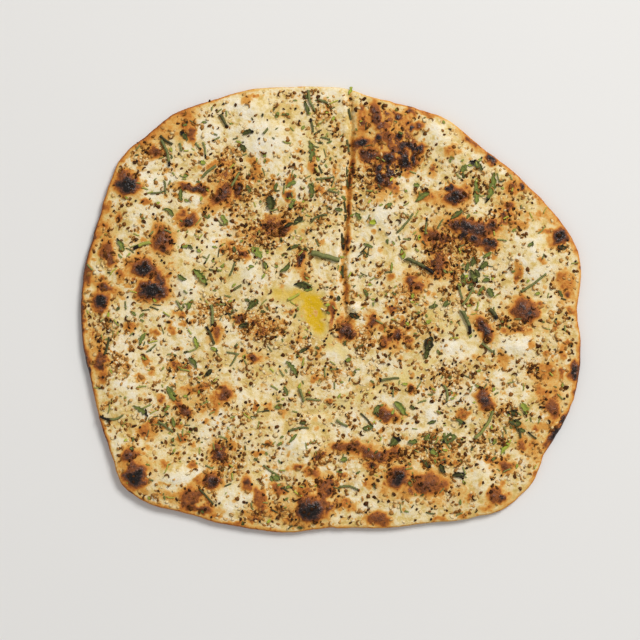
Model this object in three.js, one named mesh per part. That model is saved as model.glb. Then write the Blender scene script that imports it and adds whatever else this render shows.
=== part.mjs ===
// A large garlic and coriander naan: one flat soft bread with scraps of chopped coriander resting on it.
// Millimetres, +Z up. The bread lies on its underside, and the origin is under the middle of its box.
import * as THREE from 'three';

// ---- Driving dimensions of the bread ----
const bodyThickness = 5.6;        // dough between the blisters
const rimThickness = 3.6;         // the pressed edge
const rimWidth = 16;              // how far in from the edge the dough thins
const edgeRound = 1.5;            // how far the edge bulges past the crust and the underside
const edgeLift = 1.1;             // mean rise of the underside at the edge
const edgeLiftSwing = 0.8;        // how much that rise varies round the edge
const flatShare = 0.8;            // part of the radius over which the underside is flat
const underRings = [0.9, 0.78];   // closing rings of the underside, as shares of the radius
const crustCells = 36;            // grid cells across the crust
const outlineSamples = 720;       // readings of the outline, one each half degree

// ---- Driving dimensions of the coriander ----
const restGap = 0.45;             // air between the crust and a scrap that lies on it
const leafThickness = 0.5;
const stemCrown = 0.6;            // height of a stem as a share of its width

// ---- Edge of the bread, from the top point clockwise ----
const outlinePoints = [
  [12, 159], [30, 153], [58, 146], [84, 136.5], [104, 121], [132, 99], [152, 80], [169, 60], [179, 42],
  [182, 24], [178.5, -4], [181, -20], [180.5, -46], [175.5, -69], [166, -90], [155, -106], [150, -121],
  [141, -134], [122, -148.5], [106, -152], [94, -155], [74, -156], [46, -160], [0, -160.5], [-33, -163.5],
  [-65, -160], [-88, -155], [-108, -148.5], [-134, -142], [-153, -127], [-158, -110], [-167, -84],
  [-174, -56], [-181, -22], [-181, 14], [-178, 35], [-171, 57], [-160, 92], [-152, 110], [-135, 124],
  [-114, 141], [-92, 149], [-57, 159], [-30, 160.5], [-5, 160.5],
];

// ---- Broad soft bubbles in the dough: x, y, radius, rise ----
const bubbles = [
  [-50, 132, 36, 2.2], [-98, 104, 30, 1.8], [-140, 76, 28, 2.2], [-104, 30, 34, 1.6], [-150, 28, 24, 2.0],
  [-112, -12, 26, 1.4], [-142, -52, 32, 1.8], [-112, -118, 32, 2.4], [-64, -84, 34, 1.8],
  [-18, -100, 26, 2.0], [-62, 28, 26, 1.8], [-14, -8, 24, -0.9], [-26, 96, 34, 1.8], [44, 72, 32, 2.0],
  [38, 124, 34, 2.4], [86, 120, 30, 1.6], [100, 62, 32, 2.2], [146, 36, 32, 2.2], [138, -22, 34, 2.4],
  [72, 0, 34, 1.4], [60, -50, 34, 1.6], [112, -62, 30, 1.6], [152, -72, 26, 1.8], [106, -124, 32, 2.2],
  [54, -128, 32, 2.0], [-14, -140, 28, 2.2], [-60, -136, 28, 1.6], [-146, -112, 24, 2.0],
];

// ---- Folds pressed into the dough: points along the valley, half width, depth ----
const folds = [
  { points: [[16, 157], [14, 92], [9.4, 49], [8.7, 5], [11.6, -16]], halfWidth: 9, depth: 1.5 },
  { points: [[-16, -78], [5, -75], [18, -64], [37, -56], [79, -31]], halfWidth: 9, depth: 0.9 },
];

// ---- Coriander leaves: x, y, direction in degrees, length, width, bend ----
const leaves = [
  [-152.5, 45.5, -63, 11, 5, 0.06], [-107.5, 22.3, -32, 7.5, 3.5, -0.15], [-101.7, 2, 63, 8.5, 3.6, 0.06],
  [-94.5, 22, -50, 16, 6, 0.05], [-108.3, 81.5, -88, 9, 3.6, -0.05], [-117, 69, -45, 8.5, 3.6, 0.1],
  [-106.5, 124, -50, 9, 4.4, 0.08], [-77, 63.5, -55, 8.8, 4.6, 0], [-44, 76, -84, 10, 7.4, 0.05],
  [-60, 126, 8, 8.5, 4, 0.1], [-15.5, 113.5, -88, 15.5, 5.6, 0.12], [-29, 88.5, 30, 8.6, 4, 0.1],
  [-14.8, 84.5, -85, 11.5, 4.6, 0.1], [-18, 144.5, -76, 11, 3.2, 0.06], [-53.5, 40, -45, 11, 6.4, 0],
  [-33.5, 29, 42, 9.5, 4, -0.12], [-21, 15.5, -14, 12, 5.4, 0.08], [-56, 2.2, 40, 9.5, 6, 0.1],
  [19.6, 66.2, -55, 6.6, 4, 0.05], [66, 79.6, 35, 12, 5, 0.08], [105, 102.6, -38, 12, 5, 0.1],
  [104.6, 83.4, -88, 18, 5.6, 0.05], [115, 86.5, 74, 24, 6, -0.06], [103, 22.5, -66, 11.5, 5.6, 0.05],
  [49.8, -72.6, -52, 12, 5, 0.06], [46, -97, 45, 9.4, 6.6, 0], [85.6, -95.6, 22, 11.4, 7.6, 0.1],
  [139.8, -72.6, -55, 9.4, 5.6, 0.05], [126.6, -101.4, 55, 13.4, 4, 0.06], [-28.2, -44, -52, 14, 4.4, 0.05],
  [-115.6, -62, -60, 12, 5.6, 0], [-137.8, -74.8, -35, 14, 4.8, 0.06], [-136, -22.6, 65, 10, 4, 0.08],
  [-100.2, -40, -55, 10, 4, 0.1],
];

// ---- Coriander stems: x, y, direction in degrees, length, width, bend ----
const stems = [
  [-136.5, 45, 20, 13, 2.4, 0.05], [-120, 111.5, -73, 20, 2.2, 0.08], [-88, 98.4, 40, 13, 2, 0.04],
  [-78, 135, -60, 10, 2.4, 0.05], [-13.4, 149.4, -70, 17, 1.9, -0.1], [-4, 37, -15, 21, 3.8, 0],
  [-27, 8, 27, 9.4, 2.1, -0.05], [64, 30, -28, 23, 2.6, 0.05], [53.6, 61, 50, 18, 1.5, -0.03],
  [-8.6, 64.4, 24, 13, 1.7, 0.14], [146.4, 18, 36, 22.6, 1.8, -0.03], [97.6, -10.6, -68, 18.4, 3, 0.06],
  [99, 8, 58, 15, 1.9, -0.04], [117.5, -4.6, -55, 9, 2.8, 0.03], [110.6, -84.6, 57, 24, 2.4, -0.08],
  [82.6, -62.4, -82, 13, 1.8, 0.12], [42.4, -52.2, 9, 14, 1.7, 0.05], [-21.4, -63.6, -72, 10, 2.2, 0.03],
  [-23.6, -88.4, 11, 15.4, 1.7, 0.08], [13, -131.2, -10, 14.6, 1.7, 0.12], [-158.4, -78.2, 4, 17, 1.9, -0.16],
  [-86.4, -5.4, -88, 15, 2.1, 0.04],
];

const breadMaterial = new THREE.MeshStandardMaterial({ color: 0xe6cf9c, roughness: 0.7, metalness: 0 });
const leafMaterial = new THREE.MeshStandardMaterial({ color: 0x5a7f3e, roughness: 0.55, metalness: 0 });
const stemMaterial = new THREE.MeshStandardMaterial({ color: 0x6e8f45, roughness: 0.5, metalness: 0 });

const smooth = THREE.MathUtils.smoothstep;

// Radius of the bread's edge by direction, read off one closed curve through the outline points.
function makeEdgeRadius() {
  const knots = outlinePoints.map(([x, y]) => new THREE.Vector3(x, y, 0));
  const curve = new THREE.CatmullRomCurve3(knots, true, 'centripetal');
  const readings = curve.getPoints(outlineSamples).slice(0, outlineSamples)
    .map((point) => ({ angle: Math.atan2(point.y, point.x), radius: Math.hypot(point.x, point.y) }))
    .sort((first, second) => first.angle - second.angle);
  const last = readings[readings.length - 1];
  const ring = [{ angle: last.angle - 2 * Math.PI, radius: last.radius }, ...readings];
  ring.push({ angle: readings[0].angle + 2 * Math.PI, radius: readings[0].radius });
  return (angle) => {
    const after = ring.findIndex((reading) => reading.angle > angle);
    const [low, high] = [ring[after - 1], ring[after]];
    return THREE.MathUtils.lerp(low.radius, high.radius, (angle - low.angle) / (high.angle - low.angle));
  };
}

const edgeRadius = makeEdgeRadius();

// Shortest distance from a point to a chain of straight steps.
function distanceToChain(x, y, chain) {
  const point = new THREE.Vector2(x, y);
  let nearest = Infinity;
  for (let i = 0; i + 1 < chain.length; i += 1) {
    const start = new THREE.Vector2(...chain[i]);
    const step = new THREE.Vector2(...chain[i + 1]).sub(start);
    const along = THREE.MathUtils.clamp(point.clone().sub(start).dot(step) / step.lengthSq(), 0, 1);
    nearest = Math.min(nearest, point.distanceTo(start.addScaledVector(step, along)));
  }
  return nearest;
}

// Height of the underside: flat in the middle, lifting unevenly towards the edge.
function undersideHeight(x, y) {
  const angle = Math.atan2(y, x);
  const share = Math.hypot(x, y) / edgeRadius(angle);
  const lift = edgeLift + edgeLiftSwing * (0.6 * Math.sin(2 * angle + 0.8) + 0.4 * Math.sin(5 * angle + 2));
  return lift * smooth(share, flatShare, 1);
}

// Height of the crust: the body, its bubbles and folds, thinning towards the edge.
function crustHeight(x, y) {
  const radius = Math.hypot(x, y);
  const inward = edgeRadius(Math.atan2(y, x)) - radius;
  const body = smooth(inward, 0, rimWidth);
  let rise = 0;
  for (const [bubbleX, bubbleY, bubbleRadius, bubbleRise] of bubbles) {
    const share = Math.hypot(x - bubbleX, y - bubbleY) / bubbleRadius;
    rise += bubbleRise * (1 - smooth(share, 0, 1));
  }
  for (const { points, halfWidth, depth } of folds) {
    rise -= depth * Math.exp(-((distanceToChain(x, y, points) / halfWidth) ** 2));
  }
  return undersideHeight(x, y) + rimThickness + body * (bodyThickness - rimThickness + rise);
}

// Place on the bread of a grid cell corner, from a square of cells wrapped on to the outline.
function gridPlace(column, row) {
  const across = (2 * column) / crustCells - 1;
  const up = (2 * row) / crustCells - 1;
  const share = Math.max(Math.abs(across), Math.abs(up));
  if (share === 0) return { x: 0, y: 0 };
  const side = Math.abs(across) >= Math.abs(up);
  const turn = side ? (up / across) * (Math.PI / 4) : Math.PI / 2 - (across / up) * (Math.PI / 4);
  const flipped = side ? across < 0 : up < 0;
  const angle = turn + (flipped ? Math.PI : 0);
  const direction = Math.atan2(Math.sin(angle), Math.cos(angle));
  const reach = share * (edgeRadius(direction) - edgeRound);
  return { x: reach * Math.cos(direction), y: reach * Math.sin(direction) };
}

// The grid's outer corners in order, counterclockwise from the lower left.
function edgeCorners() {
  const corners = [];
  for (let i = 0; i < crustCells; i += 1) corners.push([i, 0]);
  for (let i = 0; i < crustCells; i += 1) corners.push([crustCells, i]);
  for (let i = crustCells; i > 0; i -= 1) corners.push([i, crustCells]);
  for (let i = crustCells; i > 0; i -= 1) corners.push([0, i]);
  return corners;
}

// The whole bread as one closed skin: a crust grid, a rounded edge, and rings closing on a flat underside.
function makeBread() {
  const positions = [];
  const faces = [];
  const addPoint = (x, y, z) => positions.push(x, y, z) / 3 - 1;
  const crust = [];
  for (let row = 0; row <= crustCells; row += 1) {
    for (let column = 0; column <= crustCells; column += 1) {
      const { x, y } = gridPlace(column, row);
      crust.push(addPoint(x, y, crustHeight(x, y)));
    }
  }
  const crustAt = (column, row) => crust[row * (crustCells + 1) + column];
  for (let row = 0; row < crustCells; row += 1) {
    for (let column = 0; column < crustCells; column += 1) {
      const [a, b] = [crustAt(column, row), crustAt(column + 1, row)];
      const [c, d] = [crustAt(column + 1, row + 1), crustAt(column, row + 1)];
      faces.push(a, b, c, a, c, d);
    }
  }
  const corners = edgeCorners();
  const edgePlaces = corners.map(([column, row]) => gridPlace(column, row));
  const shiftOut = ({ x, y }, amount) => {
    const share = 1 + amount / Math.hypot(x, y);
    return { x: x * share, y: y * share };
  };
  const addRing = (placeOf, heightOf) => edgePlaces.map((place) => {
    const { x, y } = placeOf(place);
    return addPoint(x, y, heightOf(x, y));
  });
  const edgeHeight = (x, y) => undersideHeight(x, y) + rimThickness / 2;
  const rings = [
    corners.map(([column, row]) => crustAt(column, row)),
    addRing((place) => shiftOut(place, edgeRound), edgeHeight),
    addRing((place) => place, undersideHeight),
    ...underRings.map((share) => addRing(({ x, y }) => ({ x: x * share, y: y * share }), undersideHeight)),
  ];
  for (let ring = 0; ring + 1 < rings.length; ring += 1) {
    for (let i = 0; i < corners.length; i += 1) {
      const next = (i + 1) % corners.length;
      const [a, b] = [rings[ring][i], rings[ring][next]];
      const [c, d] = [rings[ring + 1][next], rings[ring + 1][i]];
      faces.push(a, d, c, a, c, b);
    }
  }
  const centre = addPoint(0, 0, 0);
  const inner = rings[rings.length - 1];
  inner.forEach((corner, i) => faces.push(centre, inner[(i + 1) % inner.length], corner));
  const geometry = new THREE.BufferGeometry();
  geometry.setAttribute('position', new THREE.Float32BufferAttribute(positions, 3));
  geometry.setIndex(faces);
  geometry.computeVertexNormals();
  return geometry;
}

// A thin closed strip that follows the crust: rows across a bent centre line, three points to a row.
// widthAt gives the half width along the strip, and crown how far its middle stands above its sides.
function makeLaidStrip([x, y, degrees, length, , bend], { rows, widthAt, thickness, crown }) {
  const turn = THREE.MathUtils.degToRad(degrees);
  const positions = [];
  const faces = [];
  for (const layer of [0, 1]) {
    for (let row = 0; row < rows; row += 1) {
      const along = row / (rows - 1);
      const bow = bend * length * (1 - (2 * along - 1) ** 2);
      for (const side of [-1, 0, 1]) {
        const forward = (along - 0.5) * length;
        const sideways = bow + side * widthAt(along);
        const pointX = x + forward * Math.cos(turn) - sideways * Math.sin(turn);
        const pointY = y + forward * Math.sin(turn) + sideways * Math.cos(turn);
        const lift = restGap + layer * (thickness + (side === 0 ? crown : 0));
        positions.push(pointX, pointY, crustHeight(pointX, pointY) + lift);
      }
    }
  }
  const at = (layer, row, column) => (layer * rows + row) * 3 + column;
  const addQuad = (a, b, c, d) => faces.push(a, b, c, a, c, d);
  for (let row = 0; row + 1 < rows; row += 1) {
    for (const column of [0, 1]) {
      addQuad(at(1, row, column), at(1, row + 1, column), at(1, row + 1, column + 1), at(1, row, column + 1));
      addQuad(at(0, row, column + 1), at(0, row + 1, column + 1), at(0, row + 1, column), at(0, row, column));
    }
    addQuad(at(0, row, 0), at(0, row + 1, 0), at(1, row + 1, 0), at(1, row, 0));
    addQuad(at(1, row, 2), at(1, row + 1, 2), at(0, row + 1, 2), at(0, row, 2));
  }
  for (const column of [0, 1]) {
    addQuad(at(0, 0, column), at(1, 0, column), at(1, 0, column + 1), at(0, 0, column + 1));
    const last = rows - 1;
    addQuad(at(0, last, column + 1), at(1, last, column + 1), at(1, last, column), at(0, last, column));
  }
  const geometry = new THREE.BufferGeometry();
  geometry.setAttribute('position', new THREE.Float32BufferAttribute(positions, 3));
  geometry.setIndex(faces);
  geometry.computeVertexNormals();
  return geometry;
}

// A leaf scrap: widest a third of the way along, narrow at the stalk and at the tip.
function makeLeaf(leaf) {
  const halfWidth = leaf[4] / 2;
  const widthAt = (along) => halfWidth * (0.22 + 0.78 * Math.sin(Math.PI * along ** 0.75));
  return makeLaidStrip(leaf, { rows: 6, widthAt, thickness: leafThickness, crown: 0 });
}

// A stem scrap: an even strip with a rounded back.
function makeStem(stem) {
  const halfWidth = stem[4] / 2;
  const side = (stem[4] * stemCrown) / 2;
  return makeLaidStrip(stem, { rows: 6, widthAt: () => halfWidth, thickness: side, crown: side });
}

function addPiece(parent, name, geometry, material) {
  const mesh = new THREE.Mesh(geometry, material.clone());
  mesh.name = name;
  parent.add(mesh);
  return mesh;
}

const naan = new THREE.Group();
const bread = addPiece(naan, 'naan_bread', makeBread(), breadMaterial);
leaves.forEach((leaf, i) => {
  addPiece(naan, `coriander_leaf_${String(i + 1).padStart(2, '0')}`, makeLeaf(leaf), leafMaterial);
});
stems.forEach((stem, i) => {
  addPiece(naan, `coriander_stem_${String(i + 1).padStart(2, '0')}`, makeStem(stem), stemMaterial);
});

// The outline's own zero is a little off the middle of its box, so the whole bread moves over it.
bread.geometry.computeBoundingBox();
const middle = bread.geometry.boundingBox.getCenter(new THREE.Vector3());
naan.position.set(-middle.x, -middle.y, 0);
const part = new THREE.Group();
part.add(naan);

export default part;
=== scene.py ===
import math
import bmesh
import bpy
import numpy as np
from mathutils import Matrix, Vector
from mathutils.bvhtree import BVHTree


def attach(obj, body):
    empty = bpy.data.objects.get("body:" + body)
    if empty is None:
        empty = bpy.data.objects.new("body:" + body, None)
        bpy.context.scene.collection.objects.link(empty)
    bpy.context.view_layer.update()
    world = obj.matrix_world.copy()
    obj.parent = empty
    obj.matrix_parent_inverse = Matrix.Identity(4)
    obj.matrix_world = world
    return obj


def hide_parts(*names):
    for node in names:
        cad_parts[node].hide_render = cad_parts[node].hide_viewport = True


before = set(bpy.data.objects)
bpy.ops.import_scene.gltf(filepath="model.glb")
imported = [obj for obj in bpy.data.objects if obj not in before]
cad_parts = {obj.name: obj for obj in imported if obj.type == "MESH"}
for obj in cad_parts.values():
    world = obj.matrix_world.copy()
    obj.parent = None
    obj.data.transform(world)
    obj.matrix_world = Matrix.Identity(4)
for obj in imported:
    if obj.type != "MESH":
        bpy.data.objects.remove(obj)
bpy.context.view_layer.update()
print("frame loaded:", len(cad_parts), "nodes")

mm = 0.001
# Every place below is in millimetres from the baker's mark, which is this far from the middle of the box.
bakersMark = (-0.14, 1.36)


def paint(red, green, blue):
    # a screen colour, 0 to 255, as the shader's linear colour
    linear = []
    for channel in (red / 255.0, green / 255.0, blue / 255.0):
        linear.append(channel / 12.92 if channel <= 0.04045 else ((channel + 0.055) / 1.055) ** 2.4)
    return (*linear, 1.0)


def easeBetween(value, low, high):
    # 0 below low, 1 above high, and a smooth step between
    share = np.clip((value - low) / (high - low), 0.0, 1.0)
    return share * share * (3.0 - 2.0 * share)


def softNoise(x, y, cell, seed):
    # smooth random heights from -1 to 1, with bumps about one cell apart
    size = 211
    shift = 300.0  # keeps the cell numbers above zero
    table = np.random.default_rng(seed).uniform(-1.0, 1.0, (size, size))
    u = np.asarray(x) / cell + shift
    v = np.asarray(y) / cell + shift
    column = np.floor(u).astype(int)
    row = np.floor(v).astype(int)
    across = u - column
    up = v - row
    across = across ** 3 * (across * (across * 6.0 - 15.0) + 10.0)
    up = up ** 3 * (up * (up * 6.0 - 15.0) + 10.0)
    lowLeft = table[column % size, row % size]
    lowRight = table[(column + 1) % size, row % size]
    highLeft = table[column % size, (row + 1) % size]
    highRight = table[(column + 1) % size, (row + 1) % size]
    low = lowLeft + (lowRight - lowLeft) * across
    high = highLeft + (highRight - highLeft) * across
    return low + (high - low) * up


def layeredNoise(x, y, cell, seed):
    # three layers of soft noise, each half as wide and half as strong as the last
    layers = [softNoise(x, y, cell / 2 ** i, seed + 17 * i) * 0.5 ** i for i in range(3)]
    return (layers[0] + layers[1] + layers[2]) / 1.75


def ovalShare(x, y, centreX, centreY, halfLength, halfWidth, turn):
    # 0 at the middle of an oval, 1 on its edge
    angle = math.radians(turn)
    along = (x - centreX) * math.cos(angle) + (y - centreY) * math.sin(angle)
    across = (y - centreY) * math.cos(angle) - (x - centreX) * math.sin(angle)
    return np.hypot(along / halfLength, across / halfWidth)


def strongest(x, y, rows, near, far, ragged=0.0):
    # what the strongest row gives each place: its last number inside the oval, nothing beyond it
    most = np.zeros(np.shape(x))
    for *oval, amount in rows:
        share = ovalShare(x, y, *oval) + ragged
        most = np.maximum(most, amount * (1 - easeBetween(share, near, far)))
    return most


def withAmounts(rows, amountOf):
    # the same ovals with their last number worked out afresh
    return [(*oval, amountOf(amount)) for *oval, amount in rows]


def beside(x, y, route):
    # distance to a chain of points, above zero on the right of its way
    nearest = np.full(np.shape(x), 1e9)
    signed = np.zeros(np.shape(x))
    for (startX, startY), (endX, endY) in zip(route, route[1:]):
        stepX, stepY = endX - startX, endY - startY
        along = ((x - startX) * stepX + (y - startY) * stepY) / (stepX ** 2 + stepY ** 2)
        along = np.clip(along, 0.0, 1.0)
        awayX = x - startX - along * stepX
        awayY = y - startY - along * stepY
        distance = np.hypot(awayX, awayY)
        side = np.sign(stepY * awayX - stepX * awayY)
        closer = distance < nearest
        nearest = np.where(closer, distance, nearest)
        signed = np.where(closer, distance * side, signed)
    return signed


# The studio, in millimetres but for the lights' places and sizes, which are in metres. The lens looks
# straight down on the crust.
studio = {
    "lookAt": (-7.95, -9.04),
    "crustHeight": 7.0,
    "frameWidth": 462.7,
    "lens": 85.0,
    "sensor": 36.0,
    "keyPlace": (2.25, 2.55, 3.15),
    "keySize": 1.8,
    "keyPower": 191.0,
    "fillPlace": (-3.3, -2.1, 3.9),
    "fillSize": 6.0,
    "fillPower": 31.0,
    "horizon": (0.7, 0.7, 0.7, 1.0),
    "zenith": (0.385, 0.385, 0.39, 1.0),
    "zenithFrom": 0.35,          # height in the sky, from 0 to 1, where the zenith's colour starts
    "floorSize": 24000.0,
    "floorLevel": -0.3,
    "floorColour": paint(226, 224, 220),
    "floorShade": paint(214, 212, 208),
    "floorPatch": 260,
    "floorRoughness": 0.7,
    "floorSpecular": 0.3,
}


def addSoftLight(name, place, size, power):
    light = bpy.data.lights.new(name, "AREA")
    light.shape = "DISK"
    light.size = size
    light.energy = power
    lamp = bpy.data.objects.new(name, light)
    lamp.location = place
    lamp.rotation_euler = (-Vector(place)).to_track_quat("-Z", "Y").to_euler()
    bpy.context.scene.collection.objects.link(lamp)


def addCamera():
    lens = bpy.data.cameras.new("overheadLens")
    lens.lens = studio["lens"]
    lens.sensor_width = studio["sensor"]
    camera = bpy.data.objects.new("overheadCamera", lens)
    reach = studio["frameWidth"] / studio["sensor"] * studio["lens"]
    x = studio["lookAt"][0] + bakersMark[0]
    y = studio["lookAt"][1] + bakersMark[1]
    camera.location = (x * mm, y * mm, (reach + studio["crustHeight"]) * mm)
    bpy.context.scene.collection.objects.link(camera)
    bpy.context.scene.camera = camera


def addSky():
    world = bpy.data.worlds.new("studioSky")
    world.use_nodes = True
    tree = world.node_tree
    split = tree.nodes.new("ShaderNodeSeparateXYZ")
    tree.links.new(tree.nodes.new("ShaderNodeTexCoord").outputs["Generated"], split.inputs[0])
    ramp = tree.nodes.new("ShaderNodeValToRGB")
    ramp.color_ramp.elements[0].color = studio["horizon"]
    ramp.color_ramp.elements[1].position = studio["zenithFrom"]
    ramp.color_ramp.elements[1].color = studio["zenith"]
    tree.links.new(split.outputs["Z"], ramp.inputs["Fac"])
    tree.links.new(ramp.outputs["Color"], tree.nodes["Background"].inputs["Color"])
    bpy.context.scene.world = world


bpy.context.scene.view_settings.view_transform = "Standard"
addCamera()
addSoftLight("keyLight", studio["keyPlace"], studio["keySize"], studio["keyPower"])
addSoftLight("fillLight", studio["fillPlace"], studio["fillSize"], studio["fillPower"])
addSky()
print("studio ready")


def newFinish(name, roughness, specular):
    finish = bpy.data.materials.new(name)
    finish.use_nodes = True
    shader = finish.node_tree.nodes["Principled BSDF"]
    shader.inputs["Roughness"].default_value = roughness
    shader.inputs["Specular IOR Level"].default_value = specular
    return finish, finish.node_tree, shader


def objectPlace(tree):
    return tree.nodes.new("ShaderNodeTexCoord").outputs["Object"]


def feed(tree, socket, value):
    # links a node's output to a socket, or sets a plain value on it
    if hasattr(value, "is_output"):
        tree.links.new(value, socket)
    else:
        socket.default_value = value


def grain(tree, place, size, detail=3.0, rough=0.55):
    # noise whose bumps are about size millimetres across
    node = tree.nodes.new("ShaderNodeTexNoise")
    tree.links.new(place, node.inputs["Vector"])
    node.inputs["Scale"].default_value = 1.0 / (size * mm)
    node.inputs["Detail"].default_value = detail
    node.inputs["Roughness"].default_value = rough
    return node.outputs["Fac"]


def cells(tree, place, size):
    # a Voronoi pattern with cells about size millimetres across
    node = tree.nodes.new("ShaderNodeTexVoronoi")
    tree.links.new(place, node.inputs["Vector"])
    node.inputs["Scale"].default_value = 1.0 / (size * mm)
    return node


def reckon(tree, operation, first, second=0.0, clamp=False):
    node = tree.nodes.new("ShaderNodeMath")
    node.operation = operation
    node.use_clamp = clamp
    feed(tree, node.inputs[0], first)
    feed(tree, node.inputs[1], second)
    return node.outputs[0]


def added(tree, first, *others):
    for other in others:
        first = reckon(tree, "ADD", first, other)
    return first


def times(tree, first, *others):
    for other in others:
        first = reckon(tree, "MULTIPLY", first, other)
    return first


def swing(tree, noise, amount):
    # noise moved to swing about zero, and made stronger or weaker
    return times(tree, reckon(tree, "SUBTRACT", noise, 0.5), amount)


def spread(tree, value, low, high, newLow=0.0, newHigh=1.0):
    # a smooth step from newLow to newHigh as the value goes from low to high
    node = tree.nodes.new("ShaderNodeMapRange")
    node.interpolation_type = "SMOOTHSTEP"
    feed(tree, node.inputs["Value"], value)
    node.inputs["From Min"].default_value = low
    node.inputs["From Max"].default_value = high
    node.inputs["To Min"].default_value = newLow
    node.inputs["To Max"].default_value = newHigh
    return node.outputs["Result"]


def blendColours(tree, share, under, over):
    node = tree.nodes.new("ShaderNodeMix")
    node.data_type = "RGBA"
    feed(tree, node.inputs[0], share)
    feed(tree, node.inputs[6], under)
    feed(tree, node.inputs[7], over)
    return node.outputs[2]


def colourSteps(tree, value, steps):
    node = tree.nodes.new("ShaderNodeValToRGB")
    tree.links.new(value, node.inputs["Fac"])
    elements = node.color_ramp.elements
    elements[0].position, elements[0].color = steps[0]
    elements[1].position, elements[1].color = steps[-1]
    for position, colour in steps[1:-1]:
        elements.new(position).color = colour
    return node.outputs["Color"]


def reading(tree, name):
    # a number that the mesh carries at each point
    node = tree.nodes.new("ShaderNodeAttribute")
    node.attribute_name = name
    return node.outputs["Fac"]


def raiseBumps(tree, shader, layers):
    # stacks bumps: each layer is a height, its strength and its depth in millimetres
    normal = None
    for height, strength, depth in layers:
        node = tree.nodes.new("ShaderNodeBump")
        node.inputs["Strength"].default_value = strength
        node.inputs["Distance"].default_value = depth * mm
        tree.links.new(height, node.inputs["Height"])
        if normal is not None:
            tree.links.new(normal, node.inputs["Normal"])
        normal = node.outputs["Normal"]
    tree.links.new(normal, shader.inputs["Normal"])


def addPiece(name, points, faces, readings):
    # a smooth mesh from points in millimetres, with the readings its finish needs
    mesh = bpy.data.meshes.new(name)
    mesh.from_pydata((points * mm).tolist(), [], faces)
    mesh.polygons.foreach_set("use_smooth", [True] * len(mesh.polygons))
    for label, values in readings.items():
        numbers = np.asarray(values, np.float32)
        mesh.attributes.new(label, "FLOAT", "POINT").data.foreach_set("value", numbers)
    mesh.update()
    piece = bpy.data.objects.new(name, mesh)
    bpy.context.scene.collection.objects.link(piece)
    return piece


def dress(piece, finish, slotName, *nodes):
    # gives a piece its finish and body, and hides the CAD nodes that it stands for
    piece.data.materials.append(finish)
    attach(piece, "root")
    if nodes:
        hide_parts(*nodes)


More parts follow.
